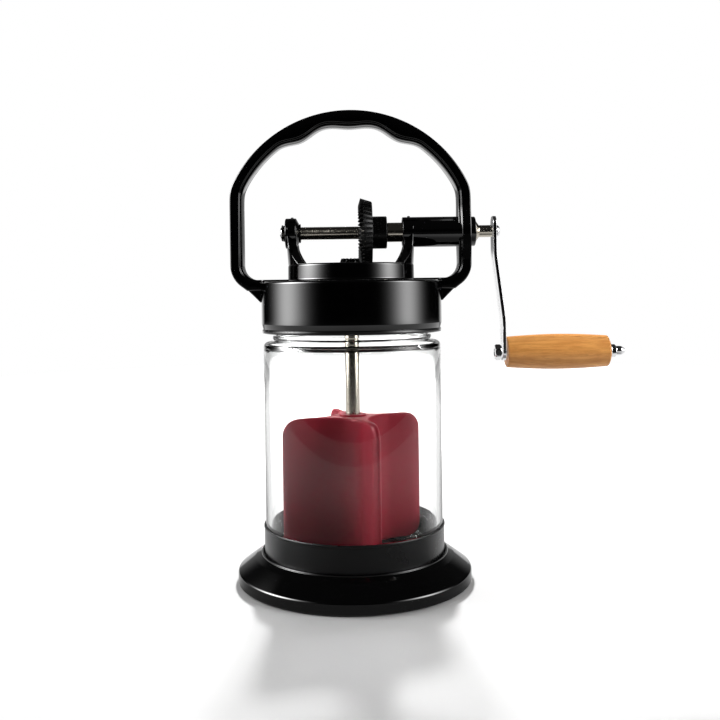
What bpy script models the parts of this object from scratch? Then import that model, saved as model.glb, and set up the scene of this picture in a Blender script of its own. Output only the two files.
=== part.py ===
"""Hand-cranked butter churn: glass jar in a soft collar on a round base, screw lid with a carry
handle, and a bevel gear pair that turns a four-bladed paddle.

Metres, +Z up. The origin is on the table under the jar's axis, and +X points to the crank.
"""
import math

import bmesh
import bpy
from mathutils import Matrix, Vector

# Clearances and modelling steps
GAP = 0.0003
OVERRUN = 0.001
MERGE = 0.000001
TURN = 2 * math.pi
RIGHT_ANGLE = 90.0
HALF_TURN = 180.0
ARC_SAG = 0.0002
SHARP_ANGLE = 35.0
BEVEL_ANGLE = 50.0
SEGMENTS_LARGE = 40
SEGMENTS_MEDIUM = 24
SEGMENTS_SMALL = 16
SEGMENTS_TINY = 10
HEX_SIDES = 6

# Foot pad: rubber disc let into the base
PAD_INSET = 0.0057
PAD_THICKNESS = 0.0020
PAD_CHAMFER = 0.0004

# Base: round flange with a sloping top and a socket for the collar
BASE_RADIUS = 0.0717
BASE_LIFT = 0.0005
BASE_BAND_HEIGHT = 0.0066
BASE_EDGE_ROUND = 0.0012
BASE_FOOT_CHAMFER = 0.0006
BASE_FLOOR_THICKNESS = 0.0059
BASE_HEIGHT = 0.0178
BASE_LIP_WIDTH = 0.0012
BASE_LIP_ROUND = 0.0006

# Collar: soft cup that grips the heel of the jar
COLLAR_HEIGHT = 0.0255
COLLAR_FLOOR = 0.0018
COLLAR_LIP_WALL = 0.0008
COLLAR_LIP_STEP = 0.0003
COLLAR_LIP_HEIGHT = 0.0014
COLLAR_FOOT_ROUND = 0.0012

# Jar
JAR_RADIUS = 0.0546
JAR_WALL = 0.0030
JAR_FLOOR = 0.0035
JAR_BODY_HEIGHT = 0.1292
JAR_HEEL_STEP = 0.0012
JAR_HEEL_TAPER = 0.0070
JAR_HEEL_ROUND = 0.0050
JAR_FLOOR_ROUND = 0.0070
JAR_PUNT_RADIUS = 0.0380
JAR_PUNT_DEPTH = 0.0012
JAR_SHOULDER_ROUND = 0.0060
JAR_MOUTH_ROUND = 0.0008
NECK_RADIUS = 0.0485
NECK_WALL = 0.0024
NECK_HEIGHT = 0.0302
NECK_BEAD_HEIGHT = 0.0008
NECK_BEAD_WIDTH = 0.0022
NECK_BEAD_RISE = 0.0027
THREAD_HEIGHT = 0.0015
THREAD_WIDTH = 0.0036
THREAD_PITCH = 0.0050
THREAD_TOP_DROP = 0.0050
THREAD_TURNS = 1.6
THREAD_FADE_TURNS = 0.12
THREAD_ROWS = 10

# Lid: gasket, threaded liner, outer cap
GASKET_THICKNESS = 0.0020
GASKET_OVERHANG = 0.0006
LINER_THREAD_CLEARANCE = 0.0006
LINER_WALL = 0.0018
LINER_PLATE = 0.0016
LINER_DROP = 0.0273
LINER_FOOT_THICKNESS = 0.0021
LINER_FOOT_STEP = 0.0004
LINER_FOOT_ROUND = 0.0004
CAP_WALL = 0.0029
CAP_PLATE = 0.0020
CAP_TOP_ROUND = 0.0016
CAP_CHAMFER_HEIGHT = 0.0032
CAP_CHAMFER_DEPTH = 0.0009

# Frame: boss, posts, bearing tube and carry handle in one moulding
BOSS_RADIUS = 0.0390
BOSS_HEIGHT = 0.0102
BOSS_ROUND = 0.0008
WELL_RADIUS = 0.0180
WELL_FLOOR = 0.0022
CRANK_AXIS_RISE = 0.0297
POST_INNER = 0.0334
POST_RING_INSET = 0.0003
POST_HALF_WIDTH = 0.0087
POST_FLARE_HALF_WIDTH = 0.0200
POST_FLARE_RISE = 0.0110
POST_FLARE_ROUND = 0.0080
POST_FOOT_DEPTH = 0.0040
HEAD_RADIUS = 0.0094
HEAD_LENGTH = 0.0083
HEAD_PROUD = 0.0014
HEAD_NOSE_LENGTH = 0.0017
HEAD_NOSE_RADIUS = 0.0062
TUBE_RADIUS = 0.0093
TUBE_END_RADIUS = 0.0091
TUBE_END_LENGTH = 0.0030
TUBE_ROUND = 0.0005
STRAP_THICKNESS = 0.0012
HANDLE_DEPTH = 0.0150
HANDLE_HALF_WIDTH = 0.0740
HANDLE_LEG = 0.0077
HANDLE_ARCH_RADIUS = 0.0805
HANDLE_ARCH_THICKNESS = 0.0075
HANDLE_ARCH_RISE = 0.0242
HANDLE_BLEND = 0.0008
HANDLE_EDGE = 0.0011
HANDLE_CORNER = 0.0160
HANDLE_INNER_CORNER = 0.0090
HANDLE_CORNER_RISE = 0.0023
GUSSET_DROP = 0.0130
GUSSET_REACH = 0.0016
GRIP_BASE_BUMP = 0.0007
GRIP_CENTRE_BUMP = 0.0018
GRIP_OUTER_BUMP = 0.0031
GRIP_CENTRE_SPAN = 12.0
GRIP_OUTER_ANGLE = 25.0
GRIP_OUTER_SPAN = 13.0
GRIP_FADE_SPAN = 11.0
ARCH_STEPS = 48
FRAME_SCREW_CIRCLE = 0.0285
FRAME_SCREW_COUNT = 4
SCREW_RADIUS = 0.0015
SCREW_HEAD_RADIUS = 0.0030
SCREW_HEAD_HEIGHT = 0.0019
SCREW_LENGTH = 0.0105
SCREW_HEAD_ROUND = 0.0008

# Bushes
BUSH_WALL = 0.0013
LEFT_BUSH_WALL = 0.0009
LEFT_BUSH_FLANGE = 0.0008
LEFT_BUSH_FLANGE_WIDTH = 0.0006
TUBE_BUSH_LENGTH = 0.0110
TUBE_BUSH_INSET = 0.0006
ROD_BUSH_WALL = 0.0027
ROD_BUSH_FLANGE_RADIUS = 0.0090
ROD_BUSH_FLANGE = 0.0015
ROD_BUSH_PROUD = 0.0006
BUSH_GASKET_THICKNESS = 0.0007

# Crank shaft, clip and washer
SHAFT_RADIUS = 0.0040
SHAFT_THICK_RADIUS = 0.0060
SHAFT_STUB_RADIUS = 0.0037
SHAFT_CONE_LENGTH = 0.0022
SHAFT_STUB_LENGTH = 0.0080
SHAFT_THICK_PROUD = 0.0003
SHAFT_CHAMFER = 0.0004
SHAFT_TENON = 0.0052
SHAFT_TENON_LENGTH = 0.0019
SHAFT_TAP_DEPTH = 0.0090
END_WASHER_RADIUS = 0.0050
END_WASHER_THICKNESS = 0.0008
CLIP_RADIUS = 0.0053
CLIP_THICKNESS = 0.0008
CLIP_GROOVE_DEPTH = 0.0008
CLIP_MOUTH = 0.0050
SHAFT_TAIL = 0.0006

# Bevel gears
GEAR_MODULE = 0.0010
GEAR_TEETH = 42
PINION_TEETH = 14
TOOTH_ADDENDUM = 0.00090
TOOTH_DEDENDUM = 0.00120
TOOTH_PITCH_WIDTH = 0.00130
TOOTH_TIP_WIDTH = 0.00058
TOOTH_ROOT_WIDTH = 0.00195
TOOTH_FACE = 0.0052
GEAR_BODY_DEPTH = 0.0064
GEAR_HUB_RADIUS = 0.0100
GEAR_HUB_LENGTH = 0.0090
GEAR_WEB_FRONT = 0.0007
GEAR_RIM_INSET = 0.0009
SET_SCREW_RADIUS = 0.0015
SET_SCREW_HEX = 0.0008
PINION_HUB_RADIUS = 0.0056
PINION_HUB_LENGTH = 0.0053
PINION_PIN_RADIUS = 0.0010
PINION_PIN_PROUD = 0.0003

# Crank arm and its fasteners
CRANK_LENGTH = 0.0752
ARM_THICKNESS = 0.0020
ARM_WIDTH = 0.0120
ARM_TOP_MARGIN = 0.0092
ARM_LOW_MARGIN = 0.0050
ARM_CORNER = 0.0048
ARM_OFFSET = 0.0050
ARM_BEND_START = 0.0143
ARM_BEND_END = 0.0553
ARM_BEND_SOFT = 0.0030
ARM_SCREW_RADIUS = 0.0014
ARM_SCREW_HEAD_RADIUS = 0.0037
ARM_SCREW_HEAD_HEIGHT = 0.0024
ARM_SCREW_LENGTH = 0.0080

# Grip, stud and nuts
GRIP_LENGTH = 0.0653
GRIP_END_RADIUS = 0.0095
GRIP_MIDDLE_RADIUS = 0.0109
GRIP_CHAMFER = 0.0014
GRIP_INNER_ROUND = 0.0008
GRIP_ARM_GAP = 0.0007
GRIP_STEPS = 7
STUD_RADIUS = 0.0028
STUD_ARM_RADIUS = 0.0024
STUD_NUT_RADIUS = 0.0020
STUD_NUT_LENGTH = 0.0046
STUD_TAIL = 0.0005
NUT_FLATS = 0.0084
NUT_THICKNESS = 0.0041
CAP_NUT_RADIUS = 0.0036
CAP_NUT_COLLAR = 0.0020
CAP_NUT_WAIST = 0.0024
CAP_NUT_DOME = 0.0030
CAP_NUT_LENGTH = 0.0084

# Rod and paddle
ROD_RADIUS = 0.0045
ROD_JOURNAL_RADIUS = 0.0030
ROD_CHAMFER = 0.0005
ROD_TOP_INSET = 0.0004
ROD_WASHER_RADIUS = 0.0062
ROD_WASHER_THICKNESS = 0.0008
PADDLE_NECK_CLEARANCE = 0.0009
PADDLE_FLOOR_CLEARANCE = 0.0059
PADDLE_HEIGHT = 0.0790
PADDLE_TURN = 22.0
PADDLE_BLADES = 4
PADDLE_TIP_THICKNESS = 0.0044
PADDLE_HOLLOW_RADIUS = 0.0230
PADDLE_HOLLOW_CENTRE = 0.0360
PADDLE_TOP_CORNER = 0.0100
PADDLE_LOW_CORNER = 0.0090
PADDLE_SOCKET_FLOOR = 0.0100
PADDLE_COLLAR_RADIUS = 0.0085
PADDLE_COLLAR_HEIGHT = 0.0012
PADDLE_TIP_STEPS = 5
PADDLE_HOLLOW_STEPS = 8

# Heights that follow from the sizes above
BASE_FLOOR_Z = PAD_THICKNESS + GAP + BASE_FLOOR_THICKNESS
COLLAR_Z = BASE_FLOOR_Z + GAP
COLLAR_TOP_Z = COLLAR_Z + COLLAR_HEIGHT
JAR_Z = COLLAR_Z + COLLAR_FLOOR + GAP
JAR_INNER_FLOOR_Z = JAR_Z + JAR_FLOOR
JAR_SHOULDER_Z = JAR_Z + JAR_BODY_HEIGHT
NECK_Z = JAR_SHOULDER_Z + JAR_SHOULDER_ROUND
JAR_TOP_Z = NECK_Z + NECK_HEIGHT
GASKET_Z = JAR_TOP_Z + GAP
LINER_PLATE_Z = GASKET_Z + GASKET_THICKNESS + GAP
LINER_FOOT_Z = LINER_PLATE_Z - LINER_DROP
CAP_PLATE_Z = LINER_PLATE_Z + LINER_PLATE + GAP
CAP_BOTTOM_Z = LINER_FOOT_Z + LINER_FOOT_THICKNESS + GAP
CAP_TOP_Z = CAP_PLATE_Z + CAP_PLATE
FRAME_Z = CAP_TOP_Z + GAP
BOSS_TOP_Z = FRAME_Z + BOSS_HEIGHT
WELL_Z = FRAME_Z + WELL_FLOOR
CRANK_Z = FRAME_Z + CRANK_AXIS_RISE
HANDLE_CENTRE_Z = FRAME_Z + HANDLE_ARCH_RISE
ROD_BUSH_Z = LINER_PLATE_Z - GAP - BUSH_GASKET_THICKNESS - GAP - ROD_BUSH_FLANGE
ROD_BUSH_TOP_Z = WELL_Z + ROD_BUSH_PROUD
ROD_WASHER_Z = ROD_BUSH_Z - GAP - ROD_WASHER_THICKNESS
ROD_SHOULDER_Z = ROD_WASHER_Z - GAP
PADDLE_Z = JAR_INNER_FLOOR_Z + PADDLE_FLOOR_CLEARANCE
PADDLE_TOP_Z = PADDLE_Z + PADDLE_HEIGHT

# Radii that follow from the sizes above
PAD_RADIUS = BASE_RADIUS - PAD_INSET
COLLAR_RADIUS = JAR_RADIUS + GAP + COLLAR_LIP_WALL
JAR_HEEL_RADIUS = JAR_RADIUS - JAR_HEEL_STEP
NECK_INNER = NECK_RADIUS - NECK_WALL
LINER_BORE = NECK_RADIUS + THREAD_HEIGHT + LINER_THREAD_CLEARANCE
LINER_RADIUS = LINER_BORE + LINER_WALL
CAP_BORE = LINER_RADIUS + GAP
CAP_RADIUS = CAP_BORE + CAP_WALL
PADDLE_RADIUS = NECK_INNER - PADDLE_NECK_CLEARANCE
ROD_BUSH_BORE = ROD_JOURNAL_RADIUS + GAP
ROD_BUSH_RADIUS = ROD_BUSH_BORE + ROD_BUSH_WALL
ROD_BUSH_HOLE = ROD_BUSH_RADIUS + GAP
SCREW_HOLE = SCREW_RADIUS + GAP
LEFT_BUSH_BORE = SHAFT_RADIUS + GAP
LEFT_BUSH_RADIUS = LEFT_BUSH_BORE + LEFT_BUSH_WALL
TUBE_BUSH_BORE = SHAFT_THICK_RADIUS + GAP
TUBE_BUSH_RADIUS = TUBE_BUSH_BORE + BUSH_WALL
TUBE_BORE = TUBE_BUSH_RADIUS + GAP
GEAR_BORE = SHAFT_RADIUS + GAP
PINION_BORE = ROD_JOURNAL_RADIUS + GAP
PIN_HOLE = PINION_PIN_RADIUS + GAP

# Places along the crank axis, measured from the jar's axis
GEAR_RADIUS = GEAR_MODULE * GEAR_TEETH / 2
PINION_RADIUS = GEAR_MODULE * PINION_TEETH / 2
CONE_OUTER = math.hypot(GEAR_RADIUS, PINION_RADIUS)
CONE_INNER = CONE_OUTER - TOOTH_FACE
GEAR_BACK = PINION_RADIUS + GEAR_BODY_DEPTH
GEAR_HUB_END = GEAR_BACK + GEAR_HUB_LENGTH
SHAFT_STEP = GEAR_HUB_END + GAP
TUBE_END = HANDLE_HALF_WIDTH + TUBE_END_LENGTH
SHAFT_CONE_START = TUBE_END + SHAFT_THICK_PROUD
SHAFT_CONE_END = SHAFT_CONE_START + SHAFT_CONE_LENGTH
SHAFT_STUB_END = SHAFT_CONE_END + SHAFT_STUB_LENGTH
ARM_INNER = SHAFT_STUB_END + GAP
ARM_OUTER = ARM_INNER + ARM_THICKNESS
GRIP_ARM_INNER = ARM_INNER + ARM_OFFSET
GRIP_ARM_OUTER = ARM_OUTER + ARM_OFFSET
GRIP_START = GRIP_ARM_OUTER + GRIP_ARM_GAP
GRIP_END = GRIP_START + GRIP_LENGTH
STUD_SHOULDER = GRIP_ARM_OUTER + GAP
STUD_END = GRIP_END + GAP
CAP_NUT_START = STUD_END + GAP
HEAD_INNER = POST_INNER - HEAD_PROUD
HEAD_OUTER = HEAD_INNER + HEAD_LENGTH
LEFT_BUSH_FACE = HEAD_INNER - GAP
END_WASHER_FACE = HEAD_OUTER + GAP
CLIP_FACE = END_WASHER_FACE + END_WASHER_THICKNESS + GAP
SHAFT_GROOVE_END = CLIP_FACE + CLIP_THICKNESS + GAP
SHAFT_TAIL_END = SHAFT_GROOVE_END + SHAFT_TAIL

# Colour, roughness and metallic value of each finish
FINISHES = {
    "gloss_black": ((0.008, 0.008, 0.009), 0.18, 0.0),
    "matte_black": ((0.016, 0.016, 0.017), 0.55, 0.0),
    "gear_black": ((0.012, 0.012, 0.012), 0.42, 0.0),
    "rubber_black": ((0.020, 0.020, 0.020), 0.80, 0.0),
    "nylon_white": ((0.70, 0.70, 0.67), 0.45, 0.0),
    "liner_grey": ((0.45, 0.45, 0.45), 0.35, 0.0),
    "silicone_white": ((0.80, 0.80, 0.78), 0.60, 0.0),
    "clear_glass": ((0.92, 0.95, 0.95), 0.03, 0.0),
    "steel": ((0.56, 0.54, 0.50), 0.30, 1.0),
    "chrome": ((0.75, 0.75, 0.76), 0.10, 1.0),
    "beech": ((0.55, 0.27, 0.10), 0.45, 0.0),
    "silicone_red": ((0.24, 0.02, 0.035), 0.50, 0.0),
}


def clear_scene():
    """Remove whatever the scene holds."""
    for item in list(bpy.data.objects):
        bpy.data.objects.remove(item, do_unlink=True)


def give_finish(piece, kind):
    """Give the piece a Principled material of its own."""
    colour, roughness, metallic = FINISHES[kind]
    material = bpy.data.materials.new(piece.name + "_" + kind)
    material.use_nodes = True
    shader = material.node_tree.nodes["Principled BSDF"]
    shader.inputs["Base Color"].default_value = (*colour, 1.0)
    shader.inputs["Roughness"].default_value = roughness
    shader.inputs["Metallic"].default_value = metallic
    if kind == "clear_glass":
        shader.inputs["Transmission Weight"].default_value = 1.0
    material.diffuse_color = (*colour, 1.0)
    piece.data.materials.append(material)


def make_axis(name, place, parent=None):
    """An empty on a joint's axis, which carries the pieces that turn or slide there."""
    axis = bpy.data.objects.new(name, None)
    axis.location = place
    axis.parent = parent
    bpy.context.collection.objects.link(axis)
    return axis


def make_piece(name, bm, kind, parent=None):
    """Turn a bmesh into a named, smoothly shaded piece with its own material."""
    bmesh.ops.remove_doubles(bm, verts=bm.verts, dist=MERGE)
    bmesh.ops.recalc_face_normals(bm, faces=bm.faces)
    mesh = bpy.data.meshes.new(name)
    bm.to_mesh(mesh)
    bm.free()
    mesh.shade_smooth()
    mesh.set_sharp_from_angle(angle=math.radians(SHARP_ANGLE))
    piece = bpy.data.objects.new(name, mesh)
    piece.parent = parent
    bpy.context.collection.objects.link(piece)
    if kind:
        give_finish(piece, kind)
    return piece


def boolean(piece, tool, operation, solver="EXACT"):
    """Join or cut the piece with a helper shape that stays out of the model."""
    modifier = piece.modifiers.new(operation.title() + " " + tool.name, "BOOLEAN")
    modifier.operation = operation
    modifier.solver = solver
    modifier.object = tool
    tool.hide_render = True
    tool.display_type = "WIRE"


def cut(piece, *tools, solver="EXACT"):
    """Cut each helper out of the piece."""
    for tool in tools:
        boolean(piece, tool, "DIFFERENCE", solver)


def join(piece, *tools, solver="EXACT"):
    """Unite each helper with the piece."""
    for tool in tools:
        boolean(piece, tool, "UNION", solver)


def arc(centre, radius, start, end, steps):
    """Points of a circular arc from one angle to another, in degrees."""
    points = []
    for step in range(steps + 1):
        angle = math.radians(start + (end - start) * step / steps)
        points.append((centre[0] + radius * math.cos(angle), centre[1] + radius * math.sin(angle)))
    return points


def rounded(corners):
    """Closed outline through corners (u, v, radius), where each radius is limited by its walls."""
    outline = []
    count = len(corners)
    for index, (u, v, radius) in enumerate(corners):
        corner = Vector((u, v))
        before = Vector(corners[index - 1][:2]) - corner
        after = Vector(corners[(index + 1) % count][:2]) - corner
        if radius <= 0:
            outline.append((u, v))
            continue
        half = before.angle(after) / 2
        reach = min(radius / math.tan(half), before.length * 0.49, after.length * 0.49)
        radius = reach * math.tan(half)
        first = corner + before.normalized() * reach
        last = corner + after.normalized() * reach
        middle = corner + (before.normalized() + after.normalized()).normalized() * (radius / math.sin(half))
        sweep = math.pi - 2 * half
        longest = 2 * math.acos(max(0.0, 1 - ARC_SAG / radius))
        steps = max(1, math.ceil(sweep / longest))
        start = first - middle
        side = 1 if start.x * (last - middle).y - start.y * (last - middle).x > 0 else -1
        for step in range(steps + 1):
            turned = Matrix.Rotation(side * sweep * step / steps, 2) @ start
            outline.append(tuple(middle + turned))
    return outline


def lathe(name, corners, segments, kind=None, parent=None, along="Z"):
    """Turn a closed outline of (radius, height, rounding) corners about Z, or about X."""
    bm = bmesh.new()
    verts = [bm.verts.new((u, 0, v)) for u, v in rounded(corners)]
    edges = []
    for here, there in zip(verts, verts[1:] + verts[:1]):
        if max(here.co.x, there.co.x) > MERGE:
            edges.append(bm.edges.new((here, there)))
    bmesh.ops.spin(bm, geom=verts + edges, cent=(0, 0, 0), axis=(0, 0, 1), angle=TURN,
                   steps=segments, use_merge=True, use_duplicate=False)
    if along == "X":
        quarter = Matrix.Rotation(math.radians(RIGHT_ANGLE), 3, "Y")
        bmesh.ops.rotate(bm, verts=bm.verts, cent=(0, 0, 0), matrix=quarter)
    return make_piece(name, bm, kind, parent)


def rod_shape(name, radius, low, high, segments, kind=None, parent=None, along="Z"):
    """A plain round bar between two places on its axis."""
    corners = [(0, low, 0), (radius, low, 0), (radius, high, 0), (0, high, 0)]
    return lathe(name, corners, segments, kind, parent, along)


def ring_shape(name, bore, radius, low, high, segments, kind=None, parent=None, along="Z"):
    """A plain ring between two places on its axis."""
    corners = [(bore, low, 0), (radius, low, 0), (radius, high, 0), (bore, high, 0)]
    return lathe(name, corners, segments, kind, parent, along)


def prism(name, outline, low, high, plane="XY", kind=None, parent=None):
    """Push an outline drawn in one plane along the axis across it, from low to high."""
    place = {"XY": lambda u, v, w: (u, v, w), "XZ": lambda u, v, w: (u, w, v),
             "YZ": lambda u, v, w: (w, u, v)}[plane]
    bm = bmesh.new()
    face = bm.faces.new([bm.verts.new(place(u, v, low)) for u, v in outline])
    pushed = bmesh.ops.extrude_face_region(bm, geom=[face])
    moved = [item for item in pushed["geom"] if isinstance(item, bmesh.types.BMVert)]
    bmesh.ops.translate(bm, verts=moved, vec=place(0, 0, high - low))
    return make_piece(name, bm, kind, parent)


def make_foot_pad():
    """Rubber disc that the churn stands on."""
    corners = [(0, 0, 0), (PAD_RADIUS - PAD_CHAMFER, 0, 0), (PAD_RADIUS, PAD_CHAMFER, 0),
               (PAD_RADIUS, PAD_THICKNESS, 0), (0, PAD_THICKNESS, 0)]
    lathe("foot_pad", corners, SEGMENTS_LARGE, "rubber_black")


def make_base():
    """Flange with an upright band, a sloping top and a socket, hollowed below for the pad."""
    band_top = BASE_LIFT + BASE_BAND_HEIGHT
    pad_bore = PAD_RADIUS + GAP
    socket = COLLAR_RADIUS + GAP
    corners = [(0, PAD_THICKNESS + GAP, 0), (pad_bore, PAD_THICKNESS + GAP, 0), (pad_bore, BASE_LIFT, 0),
               (BASE_RADIUS, BASE_LIFT, BASE_FOOT_CHAMFER), (BASE_RADIUS, band_top, BASE_EDGE_ROUND),
               (socket + BASE_LIP_WIDTH, BASE_HEIGHT, BASE_LIP_ROUND), (socket, BASE_HEIGHT, 0),
               (socket, BASE_FLOOR_Z, 0), (0, BASE_FLOOR_Z, 0)]
    lathe("base", corners, SEGMENTS_LARGE, "gloss_black")


def make_collar():
    """Soft cup whose wall thins to a lip where the jar's heel swells to its full width."""
    taper_z = COLLAR_TOP_Z - JAR_HEEL_TAPER
    inner = JAR_RADIUS + GAP
    heel = JAR_HEEL_RADIUS + GAP
    wall = COLLAR_RADIUS - COLLAR_LIP_STEP
    corners = [(0, COLLAR_Z, 0), (wall, COLLAR_Z, COLLAR_FOOT_ROUND),
               (wall, COLLAR_TOP_Z - COLLAR_LIP_HEIGHT, 0),
               (COLLAR_RADIUS, COLLAR_TOP_Z - COLLAR_LIP_HEIGHT + COLLAR_LIP_STEP, 0),
               (COLLAR_RADIUS, COLLAR_TOP_Z, COLLAR_LIP_STEP), (inner, COLLAR_TOP_Z, 0),
               (heel, taper_z, 0), (heel, COLLAR_Z + COLLAR_FLOOR, JAR_HEEL_ROUND),
               (0, COLLAR_Z + COLLAR_FLOOR, 0)]
    lathe("jar_collar", corners, SEGMENTS_LARGE, "matte_black")


def thread_rise(angle, height, top):
    """Height of the screw thread over the neck: a rounded bead that winds down from its start."""
    rise = 0.0
    for lap in range(math.ceil(THREAD_TURNS) + 1):
        turns = angle / TURN + lap
        ends = min(turns, THREAD_TURNS - turns) / THREAD_FADE_TURNS
        offset = abs(height - (top - turns * THREAD_PITCH)) / (THREAD_WIDTH / 2)
        if ends > 0 and offset < 1:
            bead = math.cos(offset * math.pi / 2)
            rise = max(rise, THREAD_HEIGHT * bead * min(1.0, ends))
    return rise


def make_jar():
    """Glass jar: stepped heel, round shoulder, neck with a bead and a winding screw thread."""
    step_z = COLLAR_TOP_Z + GAP
    taper_z = COLLAR_TOP_Z - JAR_HEEL_TAPER + GAP
    bead_z = NECK_Z + NECK_BEAD_RISE
    bead_radius = NECK_RADIUS + NECK_BEAD_HEIGHT
    thread_top = JAR_TOP_Z - THREAD_TOP_DROP
    thread_low = thread_top - THREAD_TURNS * THREAD_PITCH - THREAD_WIDTH / 2
    thread_high = thread_top + THREAD_WIDTH / 2
    rows = [thread_low + (thread_high - thread_low) * row / THREAD_ROWS for row in range(THREAD_ROWS + 1)]
    inner = JAR_RADIUS - JAR_WALL
    inner_round = JAR_SHOULDER_ROUND - (JAR_WALL - NECK_WALL)
    corners = [(0, JAR_Z + JAR_PUNT_DEPTH, 0), (JAR_PUNT_RADIUS, JAR_Z + JAR_PUNT_DEPTH, 0),
               (JAR_PUNT_RADIUS + JAR_PUNT_DEPTH, JAR_Z, 0), (JAR_HEEL_RADIUS, JAR_Z, JAR_HEEL_ROUND),
               (JAR_HEEL_RADIUS, taper_z, 0), (JAR_RADIUS, step_z, 0),
               (JAR_RADIUS, NECK_Z, JAR_SHOULDER_ROUND), (NECK_RADIUS, NECK_Z, 0),
               (NECK_RADIUS, bead_z - NECK_BEAD_WIDTH / 2, 0), (bead_radius, bead_z, 0),
               (NECK_RADIUS, bead_z + NECK_BEAD_WIDTH / 2, 0)]
    corners += [(NECK_RADIUS, row, 0) for row in rows]
    corners += [(NECK_RADIUS, JAR_TOP_Z, JAR_MOUTH_ROUND), (NECK_INNER, JAR_TOP_Z, JAR_MOUTH_ROUND),
                (NECK_INNER, NECK_Z, 0), (inner, NECK_Z - NECK_WALL, inner_round),
                (inner, JAR_INNER_FLOOR_Z, JAR_FLOOR_ROUND), (0, JAR_INNER_FLOOR_Z, 0)]
    jar = lathe("jar", corners, SEGMENTS_LARGE, "clear_glass")
    for vert in jar.data.vertices:
        radius = math.hypot(vert.co.x, vert.co.y)
        if radius > NECK_RADIUS - MERGE and thread_low < vert.co.z < thread_high:
            angle = math.atan2(vert.co.y, vert.co.x) % TURN
            grown = (radius + thread_rise(angle, vert.co.z, thread_top)) / radius
            vert.co.x *= grown
            vert.co.y *= grown


def make_gasket():
    """Flat sealing ring between the jar's mouth and the liner."""
    ring_shape("lid_gasket", NECK_INNER - GASKET_OVERHANG, NECK_RADIUS + GASKET_OVERHANG, GASKET_Z,
               GASKET_Z + GASKET_THICKNESS, SEGMENTS_LARGE, "silicone_white")


def screw_places():
    """Centres of the frame screws, half way between the posts and the handle."""
    places = []
    for index in range(FRAME_SCREW_COUNT):
        angle = TURN * (index + 1 / 2) / FRAME_SCREW_COUNT
        places.append((FRAME_SCREW_CIRCLE * math.cos(angle), FRAME_SCREW_CIRCLE * math.sin(angle)))
    return places


def screw_hole(name, place, low, high):
    """Round cutter for one frame screw."""
    hole = rod_shape(name, SCREW_HOLE, low, high, SEGMENTS_TINY)
    hole.location = (*place, 0)
    return hole


def make_liner():
    """Threaded inner cap with a foot that shows below the outer cap."""
    foot_top = LINER_FOOT_Z + LINER_FOOT_THICKNESS
    foot_radius = CAP_RADIUS - LINER_FOOT_STEP
    plate_top = LINER_PLATE_Z + LINER_PLATE
    corners = [(ROD_BUSH_HOLE, LINER_PLATE_Z, 0), (LINER_BORE, LINER_PLATE_Z, 0),
               (LINER_BORE, LINER_FOOT_Z, 0), (foot_radius, LINER_FOOT_Z, LINER_FOOT_ROUND),
               (foot_radius, foot_top, LINER_FOOT_ROUND), (LINER_RADIUS, foot_top, 0),
               (LINER_RADIUS, plate_top, 0), (ROD_BUSH_HOLE, plate_top, 0)]
    liner = lathe("lid_liner", corners, SEGMENTS_LARGE, "liner_grey")
    for index, place in enumerate(screw_places()):
        hole = screw_hole(f"liner_hole_{index + 1}", place, LINER_PLATE_Z - OVERRUN, plate_top + OVERRUN)
        cut(liner, hole)


def make_cap():
    """Outer cap with a rounded shoulder and a chamfered lower edge."""
    corners = [(ROD_BUSH_HOLE, CAP_PLATE_Z, 0), (CAP_BORE, CAP_PLATE_Z, 0), (CAP_BORE, CAP_BOTTOM_Z, 0),
               (CAP_RADIUS - CAP_CHAMFER_DEPTH, CAP_BOTTOM_Z, 0),
               (CAP_RADIUS, CAP_BOTTOM_Z + CAP_CHAMFER_HEIGHT, 0), (CAP_RADIUS, CAP_TOP_Z, CAP_TOP_ROUND),
               (ROD_BUSH_HOLE, CAP_TOP_Z, 0)]
    cap = lathe("lid_cap", corners, SEGMENTS_LARGE, "gloss_black")
    for index, place in enumerate(screw_places()):
        hole = screw_hole(f"cap_hole_{index + 1}", place, CAP_PLATE_Z - OVERRUN, CAP_TOP_Z + OVERRUN)
        cut(cap, hole)


def window(distance, span):
    """Smooth bump that is 1 at its middle and 0 from its span outwards."""
    if abs(distance) >= span:
        return 0.0
    return math.cos(math.radians(RIGHT_ANGLE) * distance / span) ** 2


def soft_least(first, second):
    """The smaller of two lengths, blended where they are nearly alike."""
    return -HANDLE_BLEND * math.log(math.exp(-first / HANDLE_BLEND) + math.exp(-second / HANDLE_BLEND))


def finger_bump(angle):
    """How far the handle's underside stands below its arch, for an angle from the top."""
    angle = abs(angle)
    fade = window(max(0.0, angle - GRIP_OUTER_ANGLE), GRIP_FADE_SPAN)
    return (GRIP_BASE_BUMP * fade + GRIP_CENTRE_BUMP * window(angle, GRIP_CENTRE_SPAN)
            + GRIP_OUTER_BUMP * window(angle - GRIP_OUTER_ANGLE, GRIP_OUTER_SPAN))


def arch_points(inner):
    """Arch of the handle from the right leg over the top to the left leg, in polar steps."""
    points = []
    for step in range(ARCH_STEPS + 1):
        angle = HALF_TURN * step / ARCH_STEPS - RIGHT_ANGLE
        run = abs(math.sin(math.radians(angle)))
        arch = HANDLE_ARCH_RADIUS
        leg = HANDLE_HALF_WIDTH
        if inner:
            arch -= HANDLE_ARCH_THICKNESS + finger_bump(angle)
            leg -= HANDLE_LEG
        radius = soft_least(arch, leg / run) if run * arch > leg / 2 else arch
        points.append((-radius * math.sin(math.radians(angle)),
                       HANDLE_CENTRE_Z + radius * math.cos(math.radians(angle))))
    return points


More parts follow.
